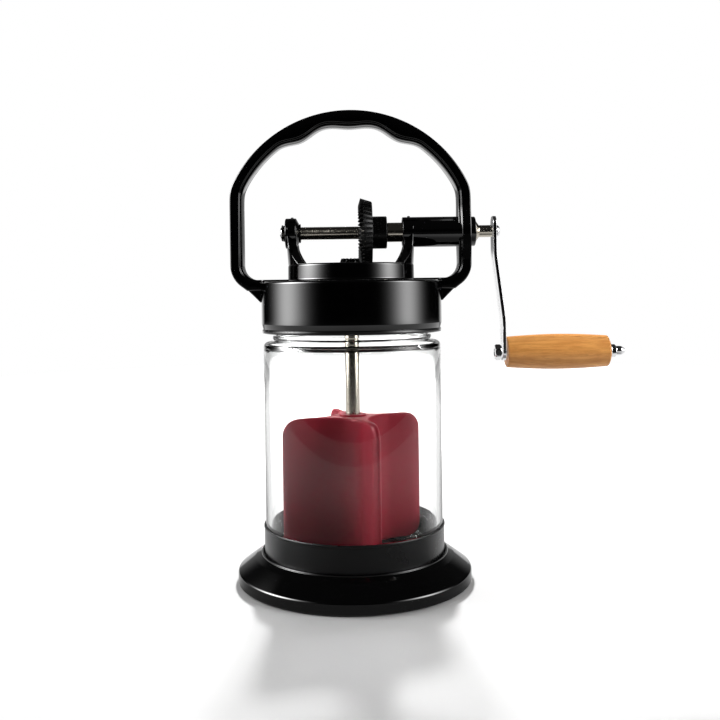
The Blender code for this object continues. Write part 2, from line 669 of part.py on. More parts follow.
def handle_outlines():
    """Outer and inner outline of the carry handle seen from the front."""
    tip_x = CAP_RADIUS - GUSSET_REACH
    corner_z = FRAME_Z + HANDLE_CORNER_RISE
    start = (HANDLE_HALF_WIDTH, HANDLE_CENTRE_Z)
    lower = rounded([(tip_x, FRAME_Z, 0), (tip_x, FRAME_Z - GUSSET_DROP, 0),
                     (HANDLE_HALF_WIDTH, corner_z, HANDLE_CORNER), (*start, 0),
                     (0, HANDLE_CENTRE_Z, 0)])[:-2]
    outer = lower + arch_points(False) + [(-u, v) for u, v in reversed(lower)]
    leg = HANDLE_HALF_WIDTH - HANDLE_LEG
    floor_z = FRAME_Z + STRAP_THICKNESS
    bottom = rounded([(0, floor_z, 0), (leg, floor_z, HANDLE_INNER_CORNER), (leg, HANDLE_CENTRE_Z, 0),
                      (0, HANDLE_CENTRE_Z, 0)])[:-2]
    inner = bottom + arch_points(True) + [(-u, v) for u, v in reversed(bottom) if u > MERGE]
    return outer, inner


def make_post(side, name):
    """Bearing post: a piece of ring wall whose two edges flare out into the boss."""
    round_top = POST_HALF_WIDTH
    foot_z = BOSS_TOP_Z - POST_FOOT_DEPTH
    flank = rounded([(0, foot_z, 0), (POST_FLARE_HALF_WIDTH, foot_z, 0),
                     (POST_FLARE_HALF_WIDTH, BOSS_TOP_Z, 0),
                     (round_top, BOSS_TOP_Z + POST_FLARE_RISE, POST_FLARE_ROUND), (round_top, CRANK_Z, 0)])
    front = flank[1:] + arc((0, CRANK_Z), round_top, 0, HALF_TURN, SEGMENTS_TINY)[1:-1]
    front += [(-u, v) for u, v in reversed(flank[1:])]
    wall = prism(name, front, side * POST_INNER / 2, side * (BOSS_RADIUS + OVERRUN), "YZ")
    ring = ring_shape(name + "_ring", POST_INNER, BOSS_RADIUS - POST_RING_INSET, foot_z - OVERRUN,
                      CRANK_Z + round_top + OVERRUN, SEGMENTS_LARGE)
    boolean(wall, ring, "INTERSECT")
    return wall


def make_frame():
    """One moulding: handle loop, strap, boss with its well, two posts, bearing head and tube."""
    outer, inner = handle_outlines()
    half = HANDLE_DEPTH / 2
    frame = prism("handle_frame", outer, -half, half, "XZ", "gloss_black")
    cut(frame, prism("hand_space", inner, -half - OVERRUN, half + OVERRUN, "XZ"))
    edge = frame.modifiers.new("Edge", "BEVEL")
    edge.width = HANDLE_EDGE
    edge.segments = 1
    edge.limit_method = "ANGLE"
    edge.angle_limit = math.radians(BEVEL_ANGLE)
    boss = lathe("boss", [(0, FRAME_Z, 0), (BOSS_RADIUS, FRAME_Z, 0),
                          (BOSS_RADIUS, BOSS_TOP_Z, BOSS_ROUND), (0, BOSS_TOP_Z, 0)], SEGMENTS_LARGE)
    nose = -HEAD_INNER - HEAD_NOSE_LENGTH
    head = lathe("left_head", [(0, -HEAD_OUTER, 0), (HEAD_RADIUS, -HEAD_OUTER, TUBE_ROUND),
                               (HEAD_RADIUS, nose, 0), (HEAD_NOSE_RADIUS, -HEAD_INNER, 0),
                               (0, -HEAD_INNER, 0)], SEGMENTS_SMALL, along="X")
    tube = lathe("bearing_tube", [(0, HEAD_INNER, 0), (TUBE_RADIUS, HEAD_INNER, TUBE_ROUND),
                                  (TUBE_RADIUS, HANDLE_HALF_WIDTH - HANDLE_LEG / 2, 0),
                                  (TUBE_END_RADIUS, HANDLE_HALF_WIDTH - HANDLE_LEG / 2, 0),
                                  (TUBE_END_RADIUS, TUBE_END, TUBE_ROUND), (0, TUBE_END, 0)],
                 SEGMENTS_MEDIUM, along="X")
    head.location.z = CRANK_Z
    tube.location.z = CRANK_Z
    join(frame, boss, make_post(-1, "left_post"), make_post(1, "right_post"), head, tube,
         solver="MANIFOLD")
    well = rod_shape("well", WELL_RADIUS, WELL_Z, BOSS_TOP_Z + OVERRUN, SEGMENTS_MEDIUM)
    bush_hole = rod_shape("rod_bush_hole", ROD_BUSH_HOLE, FRAME_Z - OVERRUN, WELL_Z + OVERRUN,
                          SEGMENTS_SMALL)
    left_bore = rod_shape("left_bore", LEFT_BUSH_RADIUS + GAP, -HEAD_OUTER - OVERRUN,
                          -HEAD_INNER + OVERRUN, SEGMENTS_SMALL, along="X")
    tube_bore = rod_shape("tube_bore", TUBE_BORE, HEAD_INNER - OVERRUN, TUBE_END + OVERRUN,
                          SEGMENTS_MEDIUM, along="X")
    lid_space = rod_shape("lid_space", CAP_RADIUS + GAP, FRAME_Z - 2 * GUSSET_DROP, FRAME_Z,
                          SEGMENTS_LARGE)
    left_bore.location.z = CRANK_Z
    tube_bore.location.z = CRANK_Z
    cut(frame, well, bush_hole, left_bore, tube_bore, lid_space, solver="MANIFOLD")
    tip_z = frame_screw_tip() + GAP
    for index, place in enumerate(screw_places()):
        hole = screw_hole(f"boss_hole_{index + 1}", place, FRAME_Z - OVERRUN, tip_z)
        cut(frame, hole, solver="MANIFOLD")


def frame_screw_tip():
    """Height of the frame screws' ends."""
    return LINER_PLATE_Z - GAP + SCREW_LENGTH


def make_frame_screws():
    """Pan-head screws that hold the frame to the lid from below."""
    under = LINER_PLATE_Z - GAP
    low = under - SCREW_HEAD_HEIGHT
    tip = frame_screw_tip()
    corners = [(0, low, 0), (SCREW_HEAD_RADIUS, low, SCREW_HEAD_ROUND), (SCREW_HEAD_RADIUS, under, 0),
               (SCREW_RADIUS, under, 0), (SCREW_RADIUS, tip, 0), (0, tip, 0)]
    for index, place in enumerate(screw_places()):
        screw = lathe(f"frame_screw_{index + 1}", corners, SEGMENTS_TINY, "steel")
        screw.location = (*place, 0)


def make_bushes():
    """Plain bearings of the crank shaft and the paddle rod, and the rod bush's own gasket."""
    axis = make_axis("crank_bearings", (0, 0, CRANK_Z))
    flange = LEFT_BUSH_RADIUS + LEFT_BUSH_FLANGE_WIDTH
    corners = [(LEFT_BUSH_BORE, -HEAD_OUTER, 0), (LEFT_BUSH_RADIUS, -HEAD_OUTER, 0),
               (LEFT_BUSH_RADIUS, -LEFT_BUSH_FACE, 0), (flange, -LEFT_BUSH_FACE, 0),
               (flange, -LEFT_BUSH_FACE + LEFT_BUSH_FLANGE, 0),
               (LEFT_BUSH_BORE, -LEFT_BUSH_FACE + LEFT_BUSH_FLANGE, 0)]
    lathe("left_bush", corners, SEGMENTS_SMALL, "gear_black", axis, "X")
    inner_start = HEAD_INNER + TUBE_BUSH_INSET
    outer_end = TUBE_END - TUBE_BUSH_INSET
    ring_shape("tube_bush_inner", TUBE_BUSH_BORE, TUBE_BUSH_RADIUS, inner_start,
               inner_start + TUBE_BUSH_LENGTH, SEGMENTS_MEDIUM, "nylon_white", axis, "X")
    ring_shape("tube_bush_outer", TUBE_BUSH_BORE, TUBE_BUSH_RADIUS, outer_end - TUBE_BUSH_LENGTH,
               outer_end, SEGMENTS_MEDIUM, "nylon_white", axis, "X")
    flange_top = ROD_BUSH_Z + ROD_BUSH_FLANGE
    corners = [(ROD_BUSH_BORE, ROD_BUSH_Z, 0), (ROD_BUSH_FLANGE_RADIUS, ROD_BUSH_Z, 0),
               (ROD_BUSH_FLANGE_RADIUS, flange_top, 0), (ROD_BUSH_RADIUS, flange_top, 0),
               (ROD_BUSH_RADIUS, ROD_BUSH_TOP_Z, 0), (ROD_BUSH_BORE, ROD_BUSH_TOP_Z, 0)]
    lathe("rod_bush", corners, SEGMENTS_SMALL, "nylon_white")
    ring_shape("bush_gasket", ROD_BUSH_HOLE, ROD_BUSH_FLANGE_RADIUS, flange_top + GAP,
               flange_top + GAP + BUSH_GASKET_THICKNESS, SEGMENTS_SMALL, "silicone_white")


def make_shaft(crank):
    """Stepped crank shaft with a clip groove, a square tenon for the arm and a tapped end."""
    groove = SHAFT_RADIUS - CLIP_GROOVE_DEPTH
    corners = [(0, -SHAFT_TAIL_END, 0), (SHAFT_RADIUS, -SHAFT_TAIL_END, 0),
               (SHAFT_RADIUS, -SHAFT_GROOVE_END, 0), (groove, -SHAFT_GROOVE_END, 0),
               (groove, -CLIP_FACE + GAP, 0), (SHAFT_RADIUS, -CLIP_FACE + GAP, 0),
               (SHAFT_RADIUS, SHAFT_STEP, 0), (SHAFT_THICK_RADIUS - SHAFT_CHAMFER, SHAFT_STEP, 0),
               (SHAFT_THICK_RADIUS, SHAFT_STEP + SHAFT_CHAMFER, 0),
               (SHAFT_THICK_RADIUS, SHAFT_CONE_START, 0), (SHAFT_STUB_RADIUS, SHAFT_CONE_END, 0),
               (SHAFT_STUB_RADIUS, SHAFT_STUB_END, 0), (0, SHAFT_STUB_END, 0)]
    shaft = lathe("crank_shaft", corners, SEGMENTS_MEDIUM, "steel", crank, "X")
    half = SHAFT_TENON / 2
    square = [(half, half), (-half, half), (-half, -half), (half, -half)]
    tenon_end = SHAFT_STUB_END + SHAFT_TENON_LENGTH
    tenon_start = SHAFT_STUB_END - SHAFT_STUB_LENGTH / 2
    tenon = prism("shaft_tenon", square, tenon_start, tenon_end, "YZ", parent=crank)
    tap = rod_shape("shaft_tap", ARM_SCREW_RADIUS + GAP, tenon_end - SHAFT_TAP_DEPTH, tenon_end + OVERRUN,
                    SEGMENTS_TINY, parent=crank, along="X")
    join(shaft, tenon)
    cut(shaft, tap)
    washer_end = END_WASHER_FACE + END_WASHER_THICKNESS
    ring_shape("end_washer", SHAFT_RADIUS + GAP, END_WASHER_RADIUS, -washer_end, -END_WASHER_FACE,
               SEGMENTS_SMALL, "steel", crank, "X")
    clip_end = CLIP_FACE + CLIP_THICKNESS
    clip = ring_shape("end_clip", groove + GAP, CLIP_RADIUS, -clip_end, -CLIP_FACE,
                      SEGMENTS_SMALL, "steel", crank, "X")
    mouth = [(-CLIP_MOUTH / 2, 0), (CLIP_MOUTH / 2, 0), (CLIP_MOUTH / 2, -2 * CLIP_RADIUS),
             (-CLIP_MOUTH / 2, -2 * CLIP_RADIUS)]
    cut(clip, prism("clip_mouth", mouth, -clip_end - OVERRUN, -CLIP_FACE + OVERRUN, "YZ", parent=crank))


def tooth_loop(teeth, pitch_radius, cone, phase):
    """One ring of tooth outlines at a cone distance, as (radius, distance along the axis, angle).

    Each tooth has six points: root, pitch line and tip on one flank, then on the other. The
    offsets stand at right angles to the pitch cone, and shrink with the cone distance.
    """
    share = cone / CONE_OUTER
    lean = math.asin(pitch_radius / CONE_OUTER)
    rows = [(-TOOTH_DEDENDUM, TOOTH_ROOT_WIDTH), (0.0, TOOTH_PITCH_WIDTH), (TOOTH_ADDENDUM, TOOTH_TIP_WIDTH)]
    flank = []
    for offset, width in rows:
        radius = (pitch_radius + offset * math.cos(lean)) * share
        along = (CONE_OUTER * math.cos(lean) - offset * math.sin(lean)) * share
        flank.append((radius, along, width * share / 2 / radius))
    loop = []
    for tooth in range(teeth):
        middle = TURN * (tooth + phase) / teeth
        loop += [(radius, along, middle - angle) for radius, along, angle in flank]
        loop += [(radius, along, middle + angle) for radius, along, angle in reversed(flank)]
    return loop


def bevel_gear(name, teeth, pitch_radius, body, place, phase, parent):
    """Straight bevel gear: teeth between two cone distances, closed by a turned body."""
    bm = bmesh.new()
    points_per_tooth = 6
    heel = [bm.verts.new(place(*point)) for point in tooth_loop(teeth, pitch_radius, CONE_OUTER, phase)]
    toe = [bm.verts.new(place(*point)) for point in tooth_loop(teeth, pitch_radius, CONE_INNER, phase)]
    count = len(heel)
    for index in range(count):
        after = (index + 1) % count
        bm.faces.new((heel[index], heel[after], toe[after], toe[index]))
    rings = []
    for radius, along in body:
        ring = [bm.verts.new(place(radius, along, TURN * (tooth + phase) / teeth)) for tooth in range(teeth)]
        rings.append(ring)
    for loop, ring in ((heel, rings[0]), (toe, rings[-1])):
        for tooth in range(teeth):
            first = tooth * points_per_tooth
            for step in range(points_per_tooth - 1):
                bm.faces.new((ring[tooth], loop[first + step], loop[first + step + 1]))
            last = loop[first + points_per_tooth - 1]
            following = loop[(first + points_per_tooth) % count]
            bm.faces.new((ring[tooth], last, following, ring[(tooth + 1) % teeth]))
    for ring, inner in zip(rings, rings[1:]):
        for tooth in range(teeth):
            after = (tooth + 1) % teeth
            bm.faces.new((ring[tooth], ring[after], inner[after], inner[tooth]))
    return make_piece(name, bm, "gear_black", parent)


def make_gear(crank):
    """Large bevel gear on the crank shaft, with its hub and the hole of its set screw."""
    lean = math.asin(GEAR_RADIUS / CONE_OUTER)
    back_radius = GEAR_RADIUS - GEAR_BODY_DEPTH / math.tan(lean)
    toe_share = CONE_INNER / CONE_OUTER
    front_radius = (GEAR_RADIUS - TOOTH_DEDENDUM * math.cos(lean)) * toe_share - GEAR_RIM_INSET
    front = (PINION_RADIUS + TOOTH_DEDENDUM * math.sin(lean)) * toe_share + GEAR_WEB_FRONT
    body = [(back_radius, GEAR_BACK), (GEAR_HUB_RADIUS, GEAR_BACK), (GEAR_HUB_RADIUS, GEAR_HUB_END),
            (GEAR_BORE, GEAR_HUB_END), (GEAR_BORE, front), (front_radius, front)]

    def place(radius, along, angle):
        return (along, radius * math.sin(angle), -radius * math.cos(angle))

    gear = bevel_gear("drive_gear", GEAR_TEETH, GEAR_RADIUS, body, place, 0.0, crank)
    middle = GEAR_BACK + GEAR_HUB_LENGTH / 2
    hole = rod_shape("set_screw_hole", SET_SCREW_RADIUS + GAP, -GEAR_HUB_RADIUS - OVERRUN, -SHAFT_RADIUS / 2,
                     SEGMENTS_TINY, parent=crank)
    hole.rotation_euler.x = math.radians(RIGHT_ANGLE)
    hole.location.x = middle
    cut(gear, hole)
    screw = rod_shape("gear_set_screw", SET_SCREW_RADIUS, -GEAR_HUB_RADIUS, -SHAFT_RADIUS - GAP,
                      SEGMENTS_TINY, "steel", crank)
    screw.rotation_euler.x = math.radians(RIGHT_ANGLE)
    screw.location.x = middle
    socket = rod_shape("set_screw_socket", SET_SCREW_HEX, -GEAR_HUB_RADIUS - OVERRUN,
                       -GEAR_HUB_RADIUS + SET_SCREW_RADIUS, HEX_SIDES, parent=crank)
    socket.rotation_euler.x = math.radians(RIGHT_ANGLE)
    socket.location.x = middle
    cut(screw, socket)


def make_pinion(rod):
    """Small bevel pinion on the rod, with its cross pin."""
    heel = GEAR_RADIUS + TOOTH_DEDENDUM * PINION_RADIUS / CONE_OUTER
    toe_share = CONE_INNER / CONE_OUTER
    hub_end = GEAR_RADIUS + PINION_HUB_LENGTH
    toe = GEAR_RADIUS * toe_share
    body = [(PINION_HUB_RADIUS, heel), (PINION_HUB_RADIUS, hub_end), (PINION_BORE, hub_end),
            (PINION_BORE, toe)]

    def place(radius, along, angle):
        return (radius * math.cos(angle), radius * math.sin(angle), CRANK_Z - along)

    pinion = bevel_gear("pinion", PINION_TEETH, PINION_RADIUS, body, place, 1 / 2, rod)
    pin_z = CRANK_Z - (heel + hub_end) / 2
    reach = PINION_HUB_RADIUS + PINION_PIN_PROUD
    hole = rod_shape("pinion_pin_hole", PIN_HOLE, -reach - OVERRUN, reach + OVERRUN, SEGMENTS_TINY,
                     parent=rod, along="X")
    hole.location.z = pin_z
    cut(pinion, hole)
    pin = rod_shape("pinion_pin", PINION_PIN_RADIUS, -reach, reach, SEGMENTS_TINY, "steel", rod, "X")
    pin.location.z = pin_z
    return hole


def make_rod(rod, pin_hole):
    """Steel rod with a thinner journal through the lid, and its thrust washer."""
    low = PADDLE_Z + PADDLE_SOCKET_FLOOR + GAP
    top = CRANK_Z - GEAR_RADIUS * CONE_INNER / CONE_OUTER - ROD_TOP_INSET
    corners = [(0, low, 0), (ROD_RADIUS - ROD_CHAMFER, low, 0), (ROD_RADIUS, low + ROD_CHAMFER, 0),
               (ROD_RADIUS, ROD_SHOULDER_Z, 0), (ROD_JOURNAL_RADIUS, ROD_SHOULDER_Z, 0),
               (ROD_JOURNAL_RADIUS, top, 0), (0, top, 0)]
    bar = lathe("paddle_rod", corners, SEGMENTS_MEDIUM, "steel", rod)
    cut(bar, pin_hole)
    ring_shape("rod_washer", ROD_JOURNAL_RADIUS + GAP, ROD_WASHER_RADIUS, ROD_WASHER_Z,
               ROD_WASHER_Z + ROD_WASHER_THICKNESS, SEGMENTS_SMALL, "nylon_white", rod)


def paddle_outline():
    """Cross of blades seen from above: round tips, near straight sides and deep round hollows."""
    sector = TURN / PADDLE_BLADES
    half_tip = PADDLE_TIP_THICKNESS / 2
    tip = arc((PADDLE_RADIUS - half_tip, 0), half_tip, -RIGHT_ANGLE, RIGHT_ANGLE, PADDLE_TIP_STEPS)
    middle = (PADDLE_HOLLOW_CENTRE * math.cos(sector / 2), PADDLE_HOLLOW_CENTRE * math.sin(sector / 2))
    hollow = arc(middle, PADDLE_HOLLOW_RADIUS, -RIGHT_ANGLE, -HALF_TURN, PADDLE_HOLLOW_STEPS)
    outline = []
    for blade in range(PADDLE_BLADES):
        turn = Matrix.Rotation(sector * blade + math.radians(PADDLE_TURN), 2)
        outline += [tuple(turn @ Vector(point)) for point in tip + hollow]
    return outline


def make_paddle(rod):
    """Silicone paddle: a cross of four blades whose outer corners are rounded top and bottom."""
    paddle = prism("paddle", paddle_outline(), PADDLE_Z, PADDLE_TOP_Z, "XY", "silicone_red", rod)
    edge = PADDLE_RADIUS + MERGE
    middle = PADDLE_RADIUS / 2
    below = PADDLE_Z - OVERRUN
    above = PADDLE_TOP_Z + OVERRUN
    corners = [(0, below, 0), (middle, below, 0), (middle, PADDLE_Z, 0), (edge, PADDLE_Z, PADDLE_LOW_CORNER),
               (edge, PADDLE_TOP_Z, PADDLE_TOP_CORNER), (middle, PADDLE_TOP_Z, 0), (middle, above, 0),
               (0, above, 0)]
    envelope = lathe("paddle_envelope", corners, SEGMENTS_LARGE, parent=rod)
    collar = rod_shape("paddle_collar", PADDLE_COLLAR_RADIUS, PADDLE_TOP_Z - PADDLE_TOP_CORNER,
                       PADDLE_TOP_Z + PADDLE_COLLAR_HEIGHT, SEGMENTS_MEDIUM, parent=rod)
    socket = rod_shape("paddle_socket", ROD_RADIUS + GAP, PADDLE_Z + PADDLE_SOCKET_FLOOR,
                       PADDLE_TOP_Z + 2 * OVERRUN + PADDLE_COLLAR_HEIGHT, SEGMENTS_MEDIUM, parent=rod)
    boolean(paddle, envelope, "INTERSECT")
    join(paddle, collar)
    cut(paddle, socket)


def arm_shift(height):
    """How far the arm stands outwards at a height under the crank axis: flat, slanted, flat."""
    run = (-height - ARM_BEND_START) / (ARM_BEND_END - ARM_BEND_START)
    return ARM_OFFSET * min(1.0, max(0.0, run))


def make_arm(crank):
    """Flat crank arm, bent outwards below its shaft end, with a square and a round hole."""
    half = ARM_WIDTH / 2
    low = -CRANK_LENGTH - ARM_LOW_MARGIN
    outline = rounded([(half, low, ARM_CORNER), (half, ARM_TOP_MARGIN, ARM_CORNER),
                       (-half, ARM_TOP_MARGIN, ARM_CORNER), (-half, low, ARM_CORNER)])
    arm = prism("crank_arm", outline, ARM_INNER, ARM_OUTER, "YZ", "chrome", crank)
    bm = bmesh.new()
    bm.from_mesh(arm.data)
    for bend in (ARM_BEND_START, ARM_BEND_END):
        for side in (-1, 1):
            geometry = bm.verts[:] + bm.edges[:] + bm.faces[:]
            bmesh.ops.bisect_plane(bm, geom=geometry, plane_co=(0, 0, -bend + side * ARM_BEND_SOFT),
                                   plane_no=(0, 0, 1))
    for vert in bm.verts:
        before = arm_shift(vert.co.z + ARM_BEND_SOFT)
        vert.co.x += (before + arm_shift(vert.co.z - ARM_BEND_SOFT)) / 2
    bm.to_mesh(arm.data)
    bm.free()
    side = SHAFT_TENON / 2 + GAP
    square = [(side, side), (-side, side), (-side, -side), (side, -side)]
    stud_hole = rod_shape("arm_stud_hole", STUD_ARM_RADIUS + GAP, GRIP_ARM_INNER - OVERRUN,
                          GRIP_ARM_OUTER + OVERRUN, SEGMENTS_SMALL, parent=crank, along="X")
    stud_hole.location.z = -CRANK_LENGTH
    cut(arm, prism("arm_square_hole", square, ARM_INNER - OVERRUN, ARM_OUTER + OVERRUN, "YZ", parent=crank),
        stud_hole)
    head = ARM_OUTER + GAP
    corners = [(0, head - ARM_SCREW_LENGTH, 0), (ARM_SCREW_RADIUS, head - ARM_SCREW_LENGTH, 0),
               (ARM_SCREW_RADIUS, head, 0), (ARM_SCREW_HEAD_RADIUS, head, 0),
               (ARM_SCREW_HEAD_RADIUS, head + ARM_SCREW_HEAD_HEIGHT, ARM_SCREW_HEAD_HEIGHT),
               (0, head + ARM_SCREW_HEAD_HEIGHT, 0)]
    lathe("arm_screw", corners, SEGMENTS_SMALL, "chrome", crank, "X")


def make_stud(grip_axis):
    """Shouldered stud that carries the grip, its hexagonal nut and its domed end nut."""
    start = GRIP_ARM_INNER - GAP - NUT_THICKNESS + STUD_TAIL
    corners = [(0, start, 0), (STUD_ARM_RADIUS, start, 0), (STUD_ARM_RADIUS, STUD_SHOULDER, 0),
               (STUD_RADIUS, STUD_SHOULDER, 0), (STUD_RADIUS, STUD_END, 0), (STUD_NUT_RADIUS, STUD_END, 0),
               (STUD_NUT_RADIUS, STUD_END + STUD_NUT_LENGTH, 0), (0, STUD_END + STUD_NUT_LENGTH, 0)]
    lathe("grip_stud", corners, SEGMENTS_SMALL, "steel", grip_axis, "X")
    corner_radius = NUT_FLATS / 2 / math.cos(TURN / HEX_SIDES / 2)
    nut_end = GRIP_ARM_INNER - GAP
    nut = rod_shape("grip_nut", corner_radius, nut_end - NUT_THICKNESS, nut_end, HEX_SIDES, "chrome",
                    grip_axis, "X")
    cut(nut, rod_shape("grip_nut_hole", STUD_ARM_RADIUS + GAP, nut_end - NUT_THICKNESS - OVERRUN,
                       nut_end + OVERRUN, SEGMENTS_SMALL, parent=grip_axis, along="X"))
    collar_end = CAP_NUT_START + CAP_NUT_COLLAR
    dome_start = CAP_NUT_START + CAP_NUT_LENGTH - 2 * CAP_NUT_DOME
    tip = CAP_NUT_START + CAP_NUT_LENGTH
    bore = STUD_NUT_RADIUS + GAP
    bore_end = STUD_END + STUD_NUT_LENGTH + GAP
    wall = max(CAP_NUT_WAIST, bore + GAP)
    corners = [(0, bore_end, 0), (bore, bore_end, 0), (bore, CAP_NUT_START, 0),
               (CAP_NUT_RADIUS, CAP_NUT_START, 0), (CAP_NUT_RADIUS, collar_end, CAP_NUT_COLLAR / 2),
               (wall, collar_end, 0), (wall, dome_start, 0), (CAP_NUT_DOME, dome_start, 0),
               (CAP_NUT_DOME, tip, CAP_NUT_DOME), (0, tip, 0)]
    lathe("grip_cap_nut", corners, SEGMENTS_SMALL, "chrome", grip_axis, "X")


def make_grip(grip_axis):
    """Turned wooden grip with a slight belly and a chamfered outer end."""
    bore = STUD_RADIUS + GAP
    belly = []
    for step in range(1, GRIP_STEPS):
        run = step / GRIP_STEPS
        bulge = (GRIP_MIDDLE_RADIUS - GRIP_END_RADIUS) * math.sin(math.pi * run)
        belly.append((GRIP_END_RADIUS + bulge, GRIP_START + GRIP_LENGTH * run, 0))
    corners = [(bore, GRIP_START, 0), (GRIP_END_RADIUS, GRIP_START, GRIP_INNER_ROUND)] + belly
    corners += [(GRIP_END_RADIUS, GRIP_END - GRIP_CHAMFER, 0), (GRIP_END_RADIUS - GRIP_CHAMFER, GRIP_END, 0),
                (bore, GRIP_END, 0)]
    lathe("wood_grip", corners, SEGMENTS_MEDIUM, "beech", grip_axis, "X")


def main():
    """Build the churn from the table up."""
    clear_scene()
    crank = make_axis("crank_axis", (0, 0, CRANK_Z))
    grip_axis = make_axis("grip_axis", (0, 0, -CRANK_LENGTH), crank)
    rod = make_axis("rod_axis", (0, 0, 0))
    make_foot_pad()
    make_base()
    make_collar()
    make_jar()
    make_gasket()
    make_liner()
    make_cap()
    make_frame()
    make_frame_screws()
    make_bushes()
    make_shaft(crank)
    make_gear(crank)
    make_arm(crank)
    make_stud(grip_axis)
    make_grip(grip_axis)
    pin_hole = make_pinion(rod)
    make_rod(rod, pin_hole)
    make_paddle(rod)


main()
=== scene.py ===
"""Looks of the hand-cranked butter churn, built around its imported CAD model.

Metres, +Z up. The origin is on the table under the jar's axis, and +X points to the crank.
Every piece is a closed surface worked out on a grid of points, and rides on a body of the frame.
"""
import math

import bpy
import numpy as np
from mathutils import Matrix, Vector


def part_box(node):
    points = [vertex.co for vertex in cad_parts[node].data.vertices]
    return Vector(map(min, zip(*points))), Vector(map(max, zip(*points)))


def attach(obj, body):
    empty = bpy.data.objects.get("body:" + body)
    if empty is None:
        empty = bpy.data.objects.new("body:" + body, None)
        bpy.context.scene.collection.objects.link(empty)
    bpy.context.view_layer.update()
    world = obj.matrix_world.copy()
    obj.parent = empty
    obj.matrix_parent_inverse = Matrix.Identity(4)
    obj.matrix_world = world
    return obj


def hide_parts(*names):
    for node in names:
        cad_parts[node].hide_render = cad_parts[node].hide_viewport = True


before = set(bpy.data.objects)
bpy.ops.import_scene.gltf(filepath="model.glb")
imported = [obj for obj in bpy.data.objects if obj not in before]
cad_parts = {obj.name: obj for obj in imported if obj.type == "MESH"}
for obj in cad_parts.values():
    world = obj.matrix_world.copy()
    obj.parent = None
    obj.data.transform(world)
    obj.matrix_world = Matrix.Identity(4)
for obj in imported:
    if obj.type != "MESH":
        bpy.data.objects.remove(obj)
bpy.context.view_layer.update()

bl_info = {
    "name": "Butter Churn",
    "version": (1, 0, 0),
    "blender": (4, 5, 0),
    "location": "View3D > Sidebar > Churn",
    "description": "Builds a hand-cranked butter churn with its jar, lid, gears, grip and paddle",
    "category": "Object",
}

TURN = 2 * math.pi
MERGE_PLACES = 7
SHARP_ANGLE = 38.0
GEAR_SHARP_ANGLE = 30.0
SOFT_SHARP_ANGLE = 50.0
ROUND_SHARP_ANGLE = 60.0
CLOSE = 1e-6
ARC_STEPS = 6
SEGMENTS = 160
WIDE_SEGMENTS = 220
JAR_SEGMENTS = 240
BOSS_SEGMENTS = 200
TUBE_SEGMENTS = 128
HEAD_SEGMENTS = 96
SMALL_SEGMENTS = 64
NUT_SEGMENTS = 48
NUB_SEGMENTS = 24

# Edge radii, from the sharpest
HAIR = 0.0002
CRISP = 0.0003
KEEN = 0.0004
SOFT = 0.0006
FULL = 0.0008


def low(node, axis):
    """Lowest place of a CAD node along an axis."""
    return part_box(node)[0]["XYZ".index(axis)]


def high(node, axis):
    """Highest place of a CAD node along an axis."""
    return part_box(node)[1]["XYZ".index(axis)]


# Places taken from the frame
BASE_RADIUS = high("base", "X")
BASE_LOW = low("base", "Z")
BASE_TOP = high("base", "Z")
COLLAR_RADIUS = high("jar_collar", "X")
COLLAR_LOW = low("jar_collar", "Z")
COLLAR_TOP = high("jar_collar", "Z")
JAR_RADIUS = high("jar", "X")
JAR_LOW = low("jar", "Z")
JAR_TOP = high("jar", "Z")
GASKET_LOW = low("lid_gasket", "Z")
GASKET_HIGH = high("lid_gasket", "Z")
GASKET_RADIUS = high("lid_gasket", "X")
LINER_FOOT_RADIUS = high("lid_liner", "X")
LINER_LOW = low("lid_liner", "Z")
LINER_TOP = high("lid_liner", "Z")
CAP_RADIUS = high("lid_cap", "X")
CAP_LOW = low("lid_cap", "Z")
CAP_TOP = high("lid_cap", "Z")
CRANK_Z = (low("tube_bush_inner", "Z") + high("tube_bush_inner", "Z")) / 2
GRIP_Z = (low("wood_grip", "Z") + high("wood_grip", "Z")) / 2
GRIP_START = low("wood_grip", "X")
GRIP_END = high("wood_grip", "X")
GRIP_MIDDLE = (GRIP_START + GRIP_END) / 2
GRIP_RADIUS = high("wood_grip", "Y")
ARM_START = low("crank_arm", "X")
ARM_TOP = high("crank_arm", "Z")
ARM_LOW = low("crank_arm", "Z")
ARM_HALF_WIDTH = high("crank_arm", "Y")
SHAFT_START = low("crank_shaft", "X")
TUBE_END = high("handle_frame", "X")
ROD_LOW = low("paddle_rod", "Z")
ROD_HIGH = high("paddle_rod", "Z")
ROD_RADIUS = high("paddle_rod", "X")
PADDLE_LOW = low("paddle", "Z")
CRANK_AXIS = ("X", (0, 0, CRANK_Z))
GRIP_AXIS = ("X", (0, 0, GRIP_Z))

# Base, foot pad and collar: sizes that the frame's boxes don't give
GAP = 0.0003
TOUCH = 0.0001
PAD_INSET = 0.0057
PAD_HOLLOW = 0.0023
BASE_BAND = 0.0066
BASE_EDGE = 0.0018
BASE_LIP = 0.0013
BASE_LIP_RISE = 0.0008
BASE_FLOOR = 0.0082
DISH_REACH = 0.0050
DISH_DROP = 0.0030
DISH_ROUND = 0.0120
COLLAR_FLOOR = 0.0018
COLLAR_STEP = 0.0003
COLLAR_LIP = 0.0014
COLLAR_ROUND = 0.0012
HEEL_STEP = 0.0012
HEEL_TAPER = 0.0070
HEEL_ROUND = 0.0050

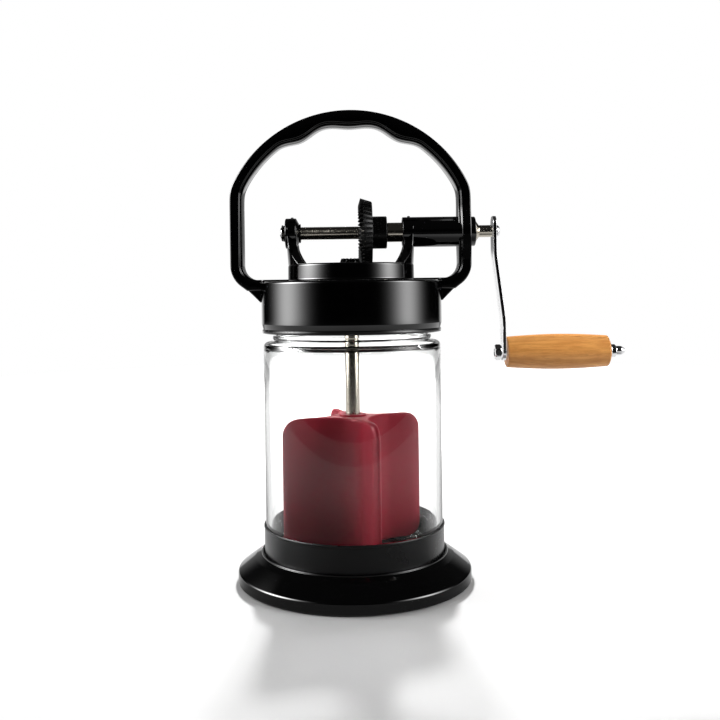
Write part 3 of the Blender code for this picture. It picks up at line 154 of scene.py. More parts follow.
# Jar
JAR_WALL = 0.0030
JAR_STEP_ROUND = 0.0020
JAR_FLOOR = 0.0035
JAR_FLOOR_ROUND = 0.0070
JAR_BODY = 0.1292
PUNT_RADIUS = 0.0380
PUNT_DEPTH = 0.0012
SHOULDER_ROUND = 0.0060
NECK_RADIUS = 0.0485
NECK_WALL = 0.0024
NECK_ROUND = 0.0012
NECK_INNER_ROUND = 0.0030
NECK_THIN = 0.0006
BEAD_HEIGHT = 0.0008
BEAD_WIDTH = 0.0022
BEAD_RISE = 0.0027
JAR_THREAD_HEIGHT = 0.0015
JAR_THREAD_WIDTH = 0.0036
JAR_THREAD_PITCH = 0.0050
JAR_THREAD_DROP = 0.0050
JAR_THREAD_TURNS = 1.6
JAR_THREAD_FADE = 0.12
JAR_THREAD_ROWS = 44
JAR_ARC_STEPS = 8

# Lid
GASKET_BORE = 0.0455
ROD_HOLE = 0.0063
LINER_BORE = 0.0506
LINER_WALL = 0.0018
LINER_PLATE = 0.0016
LINER_FOOT = 0.0021
CAP_WALL = 0.0029
CAP_PLATE = 0.0020
CAP_ROUND = 0.0016
CAP_CHAMFER = 0.0032
CAP_CHAMFER_DEPTH = 0.0009
CAP_CHAMFER_ROUND = 0.0005

# Boss, bearing posts, head and tube
BOSS_RADIUS = 0.0390
BOSS_HEIGHT = 0.0102
BOSS_DRAFT = 0.0002
BOSS_ROUND = 0.0013
BOSS_FILLET = 0.0014
BOSS_FILLET_REACH = 0.0030
WELL_RADIUS = 0.0180
WELL_FLOOR = 0.0022
WELL_ROUND = 0.0005
WELL_FLOOR_ROUND = 0.0010
POST_INNER = 0.0334
POST_OUTER = 0.0387
POST_HALF = 0.0087
POST_FLARE = 0.0215
POST_FLARE_RISE = 0.0110
POST_FLARE_ROUND = 0.0080
POST_TOE = 0.0080
POST_TOE_ROUND = 0.0016
POST_RISE = 0.0030
POST_SINK = 0.0004
POST_EDGE = 0.0008
POST_LEAN = 0.0014
POST_LEAN_RIGHT = 0.0010
HEAD_RADIUS = 0.0094
HEAD_INNER = 0.0320
HEAD_OUTER = 0.0403
HEAD_NOSE = 0.0017
HEAD_NOSE_RADIUS = 0.0062
NUB_X = 0.0361
NUB_RADIUS = 0.0009
NUB_HEIGHT = 0.0006
TUBE_RADIUS = 0.0093
TUBE_END_RADIUS = 0.0091
TUBE_END_START = 0.0738
TUBE_END_ROUND = 0.0013
TUBE_EDGE = 0.0009
TUBE_BORE = 0.0079
LEFT_BORE = 0.0055

# Carry handle
HANDLE_DEPTH = 0.0150
HANDLE_HALF_WIDTH = 0.0740
HANDLE_LEG = 0.0077
HANDLE_RISE = 0.0242
ARCH_RADIUS = 0.0805
ARCH_THICKNESS = 0.0075
ARCH_BLEND = 0.0008
HANDLE_EDGE = 0.0009
HANDLE_CORNER = 0.0160
HANDLE_INNER_CORNER = 0.0090
HANDLE_FOOT_X = 0.0638
HANDLE_CORNER_Z = 0.1930
HANDLE_FOOT_Z = 0.1773
HANDLE_LIP = 0.0019
HANDLE_LIP_STEP = 0.0012
HANDLE_LIP_ROUND = 0.0007
HANDLE_LIP_EDGE = 0.6
LEG_SWELL = 0.0023
LEG_SWELL_SPAN = 0.0190
GUSSET_TIP = 0.1698
GUSSET_HALF = 0.0052
GUSSET_SINK = 0.0008
STRAP = 0.0012
STRAP_STOPS = (0, 0.0012, 0.0024, 0.0040)
STRAP_COUNTS = (8, 6, 6, 16)
BUMP_BASE = 0.0007
BUMP_CENTRE = 0.0018
BUMP_OUTER = 0.0031
BUMP_CENTRE_SPAN = 12.0
BUMP_OUTER_ANGLE = 25.0
BUMP_OUTER_SPAN = 13.0
BUMP_FADE = 11.0

# Gears: a tooth's half profile is given as (share of its height, width) pairs
GEAR_TEETH = 42
PINION_TEETH = 14
GEAR_MODULE = 0.0010
ADDENDUM = 0.00090
DEDENDUM = 0.00120
TOOTH_WIDTHS = ((-1.0, 0.00195), (-0.72, 0.00168), (0.0, 0.00130), (0.62, 0.00086), (1.0, 0.00052))
TOOTH_FACE = 0.0052
GEAR_BACK = 0.0064
GEAR_FACE_INSET = 0.0009
GEAR_FACE_DEPTH = 0.0007
GEAR_RIDGE = 0.45
GEAR_HUB = 0.0100
GEAR_HUB_LENGTH = 0.0090
PINION_HUB = 0.0056
PINION_HUB_LENGTH = 0.0053
PINION_BORE = 0.0033

# Crank shaft
SHAFT_RADIUS = 0.0040
SHAFT_THICK = 0.0060
SHAFT_STUB = 0.0037
SHAFT_STEP = 0.0227
SHAFT_STEP_ROUND = 0.0005
SHAFT_END_LENGTH = 0.0014
SHAFT_CONE = 0.0022
SHAFT_CONE_RADIUS = 0.0068
SHAFT_STUB_LENGTH = 0.0080
SHAFT_THREAD_START = -0.0335
SHAFT_THREAD_END = 0.0048
SHAFT_THREAD_DEPTH = 0.00016
SHAFT_THREAD_STEPS = 8
SLOT_WIDTH = 0.0009
SLOT_DEPTH = 0.0018
LOBE_ROUND = 0.0012
LOBE_LENGTH = 0.0026

# Crank arm, grip and their fasteners
ARM_THICKNESS = 0.0020
ARM_CORNER = 0.0048
ARM_OFFSET = 0.0050
ARM_BEND_START = 0.0143
ARM_BEND_END = 0.0553
ARM_EDGE = 0.0002
ARM_BEND_SOFT = 0.025
SCREW_SHANK = 0.0014
SCREW_HEAD = 0.0037
SCREW_HEAD_LENGTH = 0.0024
SCREW_DOME = 0.0027
SCREW_DOME_ROUND = 0.0012
INNER_NUT_FLATS = 0.0084
INNER_NUT_BORE = 0.0027
GRIP_BORE = 0.0031
GRIP_ROUND = 0.0009
GRIP_END_RADIUS = 0.0095
GRIP_CHAMFER = 0.0013
GRIP_SHORT = 0.0018
NUT_FLANGE_RADIUS = 0.0047
NUT_FLANGE = 0.0008
NUT_FLATS = 0.0070
NUT_HEX_LENGTH = 0.0030
NUT_BORE = 0.0023
NUT_DOME_RADIUS = 0.0029
NUT_DOME_FOOT = 0.0022
NUT_DOME_DROP = 0.0022
NUT_DOME_ROUND = 0.0030
NUT_TIP = 0.0014
NUT_TIP_ROUND = 0.0009
NUT_TWIST = -9.0

# Rod and paddle
ROD_JOURNAL = 0.0030
ROD_ROUND = 0.0005
PADDLE_RADIUS = 0.0449
PADDLE_HEIGHT = 0.0790
PADDLE_TURN = 19.0
PADDLE_BLADES = 4
BLADE_TIP = 0.0048
TIP_LENGTH = 0.0080
HOLLOW_RADIUS = 0.0230
HOLLOW_CENTRE = 0.0360
PADDLE_EDGE = 0.0016
PADDLE_TOP_CORNER = 0.0100
PADDLE_LOW_CORNER = 0.0090
PADDLE_CORE_SHARE = 0.45
CROWN_RADIUS = 0.0085
CROWN_MOUTH = 0.0048
CROWN_SINK = 0.0040
CROWN_MOUTH_SINK = 0.0030

# Finishes: how much of a noise's span a ramp uses, and the glass
NOISE_SPAN = (0.3, 0.7)
GLASS_TONE = (0.99, 0.995, 0.993, 1.0)
GLASS_IOR = 1.46
GLASS_SHADOW = 0.90
GLASS_HEEL = 0.75
GLASS_HEEL_START = 0.001
GLASS_HEEL_END = 0.006

# Camera, matched to the photo
CAMERA_PLACE = (0.0, -0.548, 0.174)
CAMERA_ROLL = -0.78
LENS = 44.15
SENSOR = 36.0
SHIFT_X = 0.012
SHIFT_Y = -0.0903

# Softboxes seen in gloss: side, angle of the middle in degrees, sharpness, share, and the gain on top
# Each is dimmed below its foot and over its head, and the gain comes in over its rise
SOFTBOXES = ((-1, 85.0, 16.0, 1.0, 4.4), (1, 73.5, 21.0, 0.88, 2.2))
STRIP_RISE = (0.12, 0.30)
STRIP_FOOT = (-0.09, -0.035)
STRIP_HEAD = (0.74, 0.48)

# Room seen in gloss: the wall behind and the table. Even light on matt surfaces from front and back
BACK_LOW = 1.05
BACK_HIGH = 0.26
BACK_SIDES = (0.80, 0.94)
BACK_STEP = (0.0, 0.06)
BACK_HEAD = (0.62, 0.40)
TABLE_FRONT = 0.03
TABLE_BACK = 0.70
TABLE_TURN = (-0.35, 0.15)
TABLE_EDGE = (-0.03, -0.07)
CEILING = (0.05, 0.5, 0.003, 0.025)
FRONT_SHARE = 0.12
BACK_SHARE = 1.3
EVEN_TURN = (-0.75, 0.0)

# Floor: its paint, how bright it looks in gloss, and the glow that keeps it white round the shadow
FLOOR_HALF = 1.14
FLOOR_MIDDLE = 0.60
FLOOR_RINGS = 5
FLOOR_SEGMENTS = 96
FLOOR_PAINT = 0.56
FLOOR_BOUNCE = 0.7
FLOOR_SHINE = 0.03
FLOOR_CLOUD = (0.2, 0.8, 0.98, 1.02)
FLOOR_FRONT = 0.75
# Painted shade: how bright the floor looks in reflections close in front of the churn, kept dark in place of
# its shadow
FLOOR_NEAR_SHADE = 0.16
FLOOR_NEAR_SPAN = (0.14, 0.38)
FLOOR_BACK = 0.85
FLOOR_BACK_SPAN = (-0.05, 0.03)
FLOOR_FAR = 0.33
FLOOR_FAR_SPAN = (0.75, 1.0)
FLOOR_GLOW = 0.80
FLOOR_GLOW_SPAN = (0.20, 0.50)
SHADOW_SIDE = (0.128, 0.208)
SHADOW_BACK = (-0.06, 0.06)

# Lamps: name, place, target, size, watts and the angle of the beam
LAMPS = (
    ("key_left", (-1.0, 0.15, 0.55), (0, 0, 0.13), (0.5, 0.8), 7.5, 180.0),
    ("fill_right", (1.0, -0.35, 0.45), (0, 0, 0.13), (0.5, 0.8), 7.0, 180.0),
    ("back_soft", (0.0, 1.23, 0.88), (0, 0, 0.05), (0.12, 0.12), 48.0, 180.0),
    ("grip_top", (GRIP_MIDDLE, -0.21, GRIP_Z + 0.36), (GRIP_MIDDLE, 0.0, GRIP_Z), (0.08, 0.05),
     0.024, 26.0),
)

# Places that follow from the sizes above
FRAME_Z = CAP_TOP + GAP
BOSS_TOP = FRAME_Z + BOSS_HEIGHT
HANDLE_Z = FRAME_Z + HANDLE_RISE
NECK_Z = JAR_LOW + JAR_BODY + SHOULDER_ROUND
GEAR_RADIUS = GEAR_MODULE * GEAR_TEETH / 2
PINION_RADIUS = GEAR_MODULE * PINION_TEETH / 2
CONE_OUTER = math.hypot(GEAR_RADIUS, PINION_RADIUS)
CONE_INNER = CONE_OUTER - TOOTH_FACE


def skin(grid):
    """Points and faces of a closed surface over a grid that wraps both ways.

    Neighbours on the grid share a face. Points in the same place are merged, so that seams and
    poles close, and the faces are turned round where the volume they enclose is negative.
    """
    rows, columns, _ = grid.shape
    index = np.arange(rows * columns).reshape(rows, columns)
    after = np.roll(index, -1, 0)
    quads = np.stack([index, np.roll(index, -1, 1), np.roll(after, -1, 1), after], -1).reshape(-1, 4)
    places, kept, same = np.unique(np.round(grid.reshape(-1, 3), MERGE_PLACES), axis=0,
                                   return_index=True, return_inverse=True)
    points = grid.reshape(-1, 3)[kept]
    quads = same.reshape(-1)[quads]
    doubled = quads == np.roll(quads, -1, 1)
    count = doubled.sum(1)
    whole = quads[count == 0]
    folded = quads[count == 1][~doubled[count == 1]].reshape(-1, 3)
    whole = whole[(whole[:, 0] != whole[:, 2]) & (whole[:, 1] != whole[:, 3])]
    folded = folded[(folded[:, 0] != folded[:, 1]) & (folded[:, 1] != folded[:, 2])
                    & (folded[:, 2] != folded[:, 0])]
    halves = np.concatenate([whole[:, [0, 1, 2]], whole[:, [0, 2, 3]], folded])
    a, b, c = points[halves[:, 0]], points[halves[:, 1]], points[halves[:, 2]]
    if np.sum(a * np.cross(b, c)) < 0:
        whole, folded = whole[:, ::-1], folded[:, ::-1]
    return points, whole.tolist() + folded.tolist()


def piece(name, body, finish, grids, replaced, sharp=SHARP_ANGLE):
    """One mesh object of closed surfaces, which rides on a body and stands for nodes of the frame."""
    points, faces, start = [], [], 0
    for grid in grids:
        places, corners = skin(grid)
        points.append(places)
        faces += [[corner + start for corner in face] for face in corners]
        start += len(places)
    mesh = bpy.data.meshes.new(name)
    mesh.from_pydata(np.concatenate(points).tolist(), [], faces)
    mesh.update()
    mesh.shade_smooth()
    mesh.set_sharp_from_angle(angle=math.radians(sharp))
    mesh.materials.append(finish)
    item = bpy.data.objects.new(name, mesh)
    bpy.context.scene.collection.objects.link(item)
    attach(item, body)
    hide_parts(*replaced)
    return item


def rounded(corners, steps=ARC_STEPS):
    """Closed outline through (u, v, radius) corners, each an arc that is tangent to both its sides."""
    points = []
    count = len(corners)
    for number, (u, v, radius) in enumerate(corners):
        corner = np.array((u, v))
        before = np.array(corners[number - 1][:2]) - corner
        after = np.array(corners[(number + 1) % count][:2]) - corner
        if radius <= 0:
            points.append(corner[None])
            continue
        before_length, after_length = np.linalg.norm(before), np.linalg.norm(after)
        before, after = before / before_length, after / after_length
        half = math.acos(np.clip(before @ after, -1, 1)) / 2
        reach = min(radius / math.tan(half), before_length * 0.49, after_length * 0.49)
        radius = reach * math.tan(half)
        bisector = (before + after) / np.linalg.norm(before + after)
        centre = corner + bisector * radius / math.sin(half)
        first, last = corner + before * reach - centre, corner + after * reach - centre
        sweep = math.pi - 2 * half
        share = np.linspace(0, 1, steps + 1)[:, None]
        points.append(centre + (np.sin((1 - share) * sweep) * first + np.sin(share * sweep) * last)
                      / math.sin(sweep))
    return np.concatenate(points)


def turned(profile, along="Z", centre=(0, 0, 0), segments=SEGMENTS):
    """Grid of a turned shape: rows of (radius, height) carried round the axis through the centre."""
    angle = np.linspace(0, TURN, segments, endpoint=False)[:, None]
    radius, height = profile[:, 0][None], profile[:, 1][None]
    level = np.broadcast_to(height, (segments, len(profile)))
    across, over = radius * np.cos(angle), radius * np.sin(angle)
    parts = (level, across, over) if along == "X" else (across, over, level)
    return np.stack(parts, -1) + np.array(centre)


def outline_normals(outline):
    """Unit normals of a closed outline, each square to the line between its two neighbours."""
    run = np.roll(outline, -1, 0) - np.roll(outline, 1, 0)
    normal = np.stack([run[:, 1], -run[:, 0]], -1)
    return normal / np.linalg.norm(normal, axis=1)[:, None]


def slab(outline, start, end, edge, place, steps=3):
    """Grid of a plate: its outline shrinks by the edge radius in a quarter circle at both faces.

    The outline is closed and runs round its own middle point, to which both faces are filled.
    The function place turns (u, v, height) into x, y and z.
    """
    normal = outline_normals(outline)
    middle = outline.mean(0)
    if np.sum(normal * (outline - middle)) < 0:
        normal = -normal
    angle = np.linspace(0, math.pi / 2, steps + 1)
    inset = edge * (1 - np.sin(angle))
    rise = edge * (1 - np.cos(angle))
    insets = np.concatenate([[edge], inset, inset[::-1], [edge]])
    heights = np.concatenate([[start], start + rise, end - rise[::-1], [end]])
    share = np.ones(len(insets))
    share[0] = share[-1] = 0
    flat = outline[None] - normal[None] * insets[:, None, None]
    flat = middle + (flat - middle) * share[:, None, None]
    level = np.broadcast_to(heights[:, None], flat.shape[:2])
    return np.stack(place(flat[..., 0], flat[..., 1], level), -1)


def smooth_window(distance, span):
    """Bump that is 1 at its middle and falls as a squared cosine to 0 at its span."""
    share = np.clip(np.abs(distance) / span, 0, 1)
    return np.cos(share * math.pi / 2) ** 2


class Nodes:
    """Short way to add shader nodes to a tree and join them."""

    def __init__(self, tree):
        """Keep the tree, emptied."""
        self.tree = tree
        tree.nodes.clear()

    def add(self, kind, values=(), **settings):
        """One node: settings are its own options, values go to its inputs by name or number."""
        node = self.tree.nodes.new(kind)
        for name, value in settings.items():
            setattr(node, name, value)
        for name, value in dict(values).items():
            if isinstance(value, bpy.types.NodeSocket):
                self.tree.links.new(value, node.inputs[name])
            else:
                node.inputs[name].default_value = value
        return node

    def math(self, operation, first, second=0.0):
        """Result of one sum on two values."""
        return self.add("ShaderNodeMath", {0: first, 1: second}, operation=operation).outputs[0]

    def product(self, first, *others):
        """All these values multiplied."""
        for other in others:
            first = self.math("MULTIPLY", first, other)
        return first

    def vector(self, operation, values, output="Vector"):
        """Result of one sum on vectors."""
        return self.add("ShaderNodeVectorMath", values, operation=operation).outputs[output]

    def parts(self, vector):
        """The X, Y and Z outputs of a vector."""
        return self.add("ShaderNodeSeparateXYZ", {0: vector}).outputs

    def ramp(self, value, start, end, low_value=0.0, high_value=1.0):
        """Smooth step of a value from one limit to another."""
        return self.add("ShaderNodeMapRange", {"Value": value, "From Min": start, "From Max": end,
                                               "To Min": low_value, "To Max": high_value},
                        interpolation_type="SMOOTHSTEP").outputs[0]

    def noise(self, vector, scale, detail=3.0, roughness=0.5):
        """Grey noise over a position."""
        return self.add("ShaderNodeTexNoise", {"Vector": vector, "Scale": scale, "Detail": detail,
                                               "Roughness": roughness}).outputs["Fac"]

    def mapped(self, vector, scale):
        """Position stretched along its axes."""
        return self.add("ShaderNodeMapping", {"Vector": vector, "Scale": scale}).outputs[0]

    def between(self, share, first, second):
        """Number between two numbers."""
        return self.add("ShaderNodeMix", {"Factor": share, "A": first, "B": second}).outputs[0]

    def mixed(self, share, first, second):
        """Mix of two shaders."""
        return self.add("ShaderNodeMixShader", {0: share, 1: first.outputs[0], 2: second.outputs[0]})

    def blend(self, share, first, second):
        """Colour between two colours."""
        node = self.add("ShaderNodeMix", {"Factor": share}, data_type="RGBA")
        for socket, value in (("A_Color", first), ("B_Color", second)):
            target = next(item for item in node.inputs if item.identifier == socket)
            if isinstance(value, bpy.types.NodeSocket):
                self.tree.links.new(value, target)
            else:
                target.default_value = value
        return next(item for item in node.outputs if item.identifier == "Result_Color")

    def bump(self, height, distance, strength=1.0):
        """Surface normal disturbed by a height."""
        return self.add("ShaderNodeBump", {"Height": height, "Distance": distance,
                                           "Strength": strength}).outputs[0]


def start_finish(name):
    """New material with its node helper and Object coordinates."""
    material = bpy.data.materials.get(name) or bpy.data.materials.new(name)
    material.use_nodes = True
    nodes = Nodes(material.node_tree)
    return material, nodes, nodes.add("ShaderNodeTexCoord").outputs["Object"]


def end_finish(nodes, values):
    """Principled shader with these values, joined to the output."""
    shader = nodes.add("ShaderNodeBsdfPrincipled", values)
    nodes.add("ShaderNodeOutputMaterial", {"Surface": shader.outputs[0]})


def colour(values, scale=1.0):
    """RGBA from three channels, made lighter or darker."""
    return (*[channel * scale for channel in values], 1.0)


def grey(level):
    """RGBA of a neutral grey."""
    return colour((level, level, level))


def clouded(name, scale, first, second, roughness, bump=(), extra=()):
    """Finish whose tone, roughness and skin all follow one noise.

    The roughness is one value, or a pair for the noise's low and high places.
    """
    material, nodes, place = start_finish(name)
    cloud = nodes.noise(place, scale)
    if isinstance(roughness, tuple):
        roughness = nodes.ramp(cloud, *NOISE_SPAN, *roughness)
    values = {"Base Color": nodes.blend(cloud, first, second), "Roughness": roughness, **dict(extra)}
    if bump:
        values["Normal"] = nodes.bump(cloud, *bump)
    end_finish(nodes, values)
    return material


def plain_finish(kind):
    """One of the finishes that a user doesn't set: rubber, liner, gears, spring steel, bearings or seal."""
    return clouded(*{
        "foot": ("churn_foot_rubber", 1500.0, grey(0.014), grey(0.026), 0.8, (0.00005, 0.6)),
        "liner": ("churn_liner_grey", 90.0, grey(0.012), grey(0.020), (0.12, 0.18), (0.00001, 0.3)),
        "gears": ("churn_gear_black", 1100.0, grey(0.0008), grey(0.004), (0.24, 0.38), (0.00003, 0.4),
                  {"Specular IOR Level": 0.16}),
        "spring": ("churn_spring_steel", 400.0, colour((0.05, 0.045, 0.04)), colour((0.12, 0.11, 0.10)),
                   (0.2, 0.35), (), {"Metallic": 1.0}),
        "bearings": ("churn_bearing_white", 300.0, colour((0.62, 0.62, 0.59)), colour((0.72, 0.72, 0.69)),
                     0.4, (0.00003, 0.4)),
        "seal": ("churn_seal_white", 300.0, colour((0.74, 0.74, 0.72)), colour((0.84, 0.84, 0.82)),
                 0.55, (0.00003, 0.4)),
    }[kind])


def gloss_plastic(settings):
    """Black moulded plastic: a polished skin with a faint ripple and fine haze."""
    material, nodes, place = start_finish("churn_gloss_black")
    haze = nodes.noise(place, 60.0, 4.0)
    ripple = nodes.noise(place, 150.0, 2.0)
    end_finish(nodes, {"Base Color": nodes.blend(haze, colour(settings.black), colour(settings.black, 1.7)),
                       "Roughness": nodes.ramp(haze, *NOISE_SPAN, 0.06, 0.10),
                       "Normal": nodes.bump(ripple, 0.00001, 0.2), "IOR": 1.55})
    return material


def soft_rubber(settings):
    """Dark satin rubber of the collar, with a fine even grain."""
    material, nodes, place = start_finish("churn_collar_rubber")
    grain = nodes.noise(place, 2600.0, 2.0)
    cloud = nodes.noise(place, 45.0)
    tone = nodes.blend(cloud, colour(settings.collar), colour(settings.collar, 1.35))
    end_finish(nodes, {"Base Color": tone, "Roughness": nodes.ramp(cloud, *NOISE_SPAN, 0.26, 0.32),
                       "Specular IOR Level": 0.35, "Normal": nodes.bump(grain, 0.00002, 0.3)})
    return material


def clear_glass():
    """Clear pressed glass with a very slight ripple; near its floor a refraction-only shader is mixed in by
    height, which takes most of the reflection away.

    Its shadow is a pale one: lamps shine through it.
    """
    material, nodes, place = start_finish("churn_glass")
    ripple = nodes.noise(nodes.mapped(place, (1.0, 1.0, 0.25)), 26.0, 1.5)
    glass = nodes.add("ShaderNodeBsdfPrincipled", {
        "Base Color": GLASS_TONE, "Roughness": 0.0, "IOR": GLASS_IOR, "Transmission Weight": 1.0,
        "Specular Tint": grey(0.5), "Normal": nodes.bump(ripple, 0.00003, 0.2)})
    plain = nodes.add("ShaderNodeBsdfRefraction", {"Color": GLASS_TONE, "Roughness": 0.0, "IOR": GLASS_IOR})
    floor = JAR_LOW + JAR_FLOOR
    # Reflection faded out by height just above the jar's floor, not by the glass's thickness
    heel = nodes.ramp(nodes.parts(place)["Z"], floor + GLASS_HEEL_START, floor + GLASS_HEEL_END,
                      GLASS_HEEL, 0.0)
    clear = nodes.add("ShaderNodeBsdfTransparent", {"Color": grey(GLASS_SHADOW)})
    shadow = nodes.add("ShaderNodeLightPath").outputs["Is Shadow Ray"]
    both = nodes.mixed(shadow, nodes.mixed(heel, glass, plain), clear)
    nodes.add("ShaderNodeOutputMaterial", {"Surface": both.outputs[0]})
    return material


def turned_steel(settings, name, stretch, depth):
    """Stainless steel turned on a lathe: fine rings across the axis in tone, roughness and height."""
    material, nodes, place = start_finish(name)
    rings = nodes.noise(nodes.mapped(place, stretch), 300.0, 2.0)
    wear = nodes.noise(place, 55.0)
    bright = colour(settings.steel)
    tone = nodes.blend(rings, bright, colour(settings.steel, 0.82))
    end_finish(nodes, {"Base Color": nodes.blend(nodes.product(wear, 0.35), tone, bright),
                       "Metallic": 1.0, "Roughness": nodes.ramp(rings, 0.25, 0.75, 0.15, 0.20),
                       "Normal": nodes.bump(rings, depth)})
    return material


def chrome_plate(settings):
    """Bright chrome with faint polishing streaks."""
    material, nodes, place = start_finish("churn_chrome")
    streaks = nodes.noise(nodes.mapped(place, (1.0, 1.0, 0.08)), 900.0, 2.0)
    end_finish(nodes, {"Base Color": colour(settings.chrome), "Metallic": 1.0,
                       "Roughness": nodes.ramp(streaks, *NOISE_SPAN, 0.07, 0.12),
                       "Normal": nodes.bump(streaks, 0.000003, 0.3)})
    return material


def oiled_wood(settings):
    """Oiled beech: long rays along the grip, a slow drift of tone and short dark flecks."""
    material, nodes, place = start_finish("churn_grip_wood")
    warp = nodes.add("ShaderNodeTexNoise", {"Vector": nodes.mapped(place, (0.5, 2.0, 2.0)), "Scale": 55.0,
                                            "Detail": 2.0}).outputs["Color"]
    bent = nodes.vector("ADD", {0: place, 1: nodes.vector("SCALE", {0: warp, "Scale": 0.004})})
    grain = nodes.noise(nodes.mapped(bent, (0.10, 1.0, 1.0)), 620.0, 5.0, 0.62)
    drift = nodes.noise(nodes.mapped(bent, (0.25, 1.0, 1.0)), 85.0)
    flecks = nodes.ramp(nodes.noise(nodes.mapped(bent, (0.16, 1.0, 1.0)), 1500.0, 2.0), 0.60, 0.74)
    deep = colour([channel * share for channel, share in zip(settings.wood, (0.72, 0.60, 0.50))])
    tone = nodes.blend(nodes.ramp(grain, 0.30, 0.72), colour(settings.wood), deep)
    tone = nodes.blend(nodes.product(nodes.ramp(drift, 0.35, 0.7), 0.45), tone, deep)
    tone = nodes.blend(nodes.product(flecks, 0.38), tone, colour(settings.wood, 0.5))
    end_finish(nodes, {"Base Color": tone, "Roughness": nodes.ramp(grain, *NOISE_SPAN, 0.40, 0.52),
                       "Normal": nodes.bump(grain, 0.00004, 0.35), "Coat Weight": 0.06,
                       "Coat Roughness": 0.3})
    return material


def disc_grid(profile_corners, along="Z", centre=(0, 0, 0), segments=SEGMENTS, steps=ARC_STEPS):
    """Turned grid from corners that still need their rounding."""
    return turned(rounded(profile_corners, steps), along, centre, segments)


def base_grid():
    """Flange: upright band, sloping top with a soft edge, lip round the socket, hollow for the pad."""
    pad_bore = BASE_RADIUS - PAD_INSET + GAP
    socket = COLLAR_RADIUS + GAP
    lip = socket + BASE_LIP
    return disc_grid([(0, PAD_HOLLOW, 0), (pad_bore, PAD_HOLLOW, 0), (pad_bore, BASE_LOW, HAIR),
                      (BASE_RADIUS, BASE_LOW, SOFT), (BASE_RADIUS, BASE_LOW + BASE_BAND, BASE_EDGE),
                      (socket + DISH_REACH, BASE_TOP - DISH_DROP, DISH_ROUND),
                      (lip, BASE_TOP - BASE_LIP_RISE, CRISP), (lip, BASE_TOP, SOFT), (socket, BASE_TOP, KEEN),
                      (socket, BASE_FLOOR, 0), (0, BASE_FLOOR, 0)], segments=WIDE_SEGMENTS)


def collar_grid():
    """Soft cup with a rolled lip at its rim and a wall that thins above the jar's heel."""
    inner = JAR_RADIUS + GAP
    heel = inner - HEEL_STEP
    wall = COLLAR_RADIUS - COLLAR_STEP
    floor = COLLAR_LOW + COLLAR_FLOOR
    lip = COLLAR_TOP - COLLAR_LIP
    return disc_grid([(0, COLLAR_LOW, 0), (wall, COLLAR_LOW, COLLAR_ROUND), (wall, lip, CRISP),
                      (COLLAR_RADIUS, lip + COLLAR_STEP, HAIR), (COLLAR_RADIUS, COLLAR_TOP, SOFT),
                      (inner, COLLAR_TOP, HAIR), (inner, COLLAR_TOP - HAIR, 0),
                      (heel, COLLAR_TOP - HEEL_TAPER, FULL), (heel, floor, HEEL_ROUND), (0, floor, 0)],
                     segments=WIDE_SEGMENTS)


def jar_grid():
    """Jar wall turned from its section, with the screw thread added to the neck's radius.

    The thread's height at an angle and level is a rounded bead round the falling helix
    level = start - pitch * turns, faded in and out at its two ends.
    """
    step_z = COLLAR_TOP + GAP
    taper_z = COLLAR_TOP - HEEL_TAPER + GAP
    heel = JAR_RADIUS - HEEL_STEP
    bead_z = NECK_Z + BEAD_RISE
    thread_top = JAR_TOP - JAR_THREAD_DROP
    thread_low = thread_top - JAR_THREAD_TURNS * JAR_THREAD_PITCH - JAR_THREAD_WIDTH / 2
    thread_high = thread_top + JAR_THREAD_WIDTH / 2
    neck_inner = NECK_RADIUS - NECK_WALL
    inner = JAR_RADIUS - JAR_WALL
    floor = JAR_LOW + JAR_FLOOR
    corners = [(0, JAR_LOW + PUNT_DEPTH, 0), (PUNT_RADIUS, JAR_LOW + PUNT_DEPTH, SOFT),
               (PUNT_RADIUS + PUNT_DEPTH, JAR_LOW, SOFT), (heel, JAR_LOW, HEEL_ROUND),
               (heel, taper_z, JAR_STEP_ROUND), (JAR_RADIUS, step_z, JAR_STEP_ROUND),
               (JAR_RADIUS, NECK_Z, SHOULDER_ROUND), (NECK_RADIUS, NECK_Z, NECK_ROUND),
               (NECK_RADIUS, bead_z - BEAD_WIDTH / 2, KEEN), (NECK_RADIUS + BEAD_HEIGHT, bead_z, FULL),
               (NECK_RADIUS, bead_z + BEAD_WIDTH / 2, KEEN)]
    corners += [(NECK_RADIUS, level, 0) for level in np.linspace(thread_low, thread_high, JAR_THREAD_ROWS)]
    corners += [(NECK_RADIUS, JAR_TOP, FULL), (neck_inner, JAR_TOP, FULL),
                (neck_inner, NECK_Z - NECK_THIN, NECK_INNER_ROUND),
                (inner, NECK_Z - NECK_WALL - NECK_THIN, SHOULDER_ROUND - NECK_THIN),
                (inner, floor, JAR_FLOOR_ROUND), (0, floor, 0)]
    grid = turned(rounded(corners, JAR_ARC_STEPS), segments=JAR_SEGMENTS)
    radius = np.hypot(grid[..., 0], grid[..., 1])
    angle = np.arctan2(grid[..., 1], grid[..., 0]) % TURN
    level = grid[..., 2]
    rise = np.zeros_like(radius)
    for lap in range(math.ceil(JAR_THREAD_TURNS) + 1):
        turns = angle / TURN + lap
        ends = np.clip(np.minimum(turns, JAR_THREAD_TURNS - turns) / JAR_THREAD_FADE, 0, 1)
        offset = np.abs(level - (thread_top - turns * JAR_THREAD_PITCH)) / (JAR_THREAD_WIDTH / 2)
        bead = np.cos(np.clip(offset, 0, 1) * math.pi / 2)
        rise = np.maximum(rise, JAR_THREAD_HEIGHT * bead * ends)
    outside = (radius > NECK_RADIUS - CLOSE) & (level > thread_low) & (level < thread_high)
    grown = np.where(outside, (radius + rise) / np.maximum(radius, CLOSE), 1.0)
    grid[..., 0] *= grown
    grid[..., 1] *= grown
    return grid


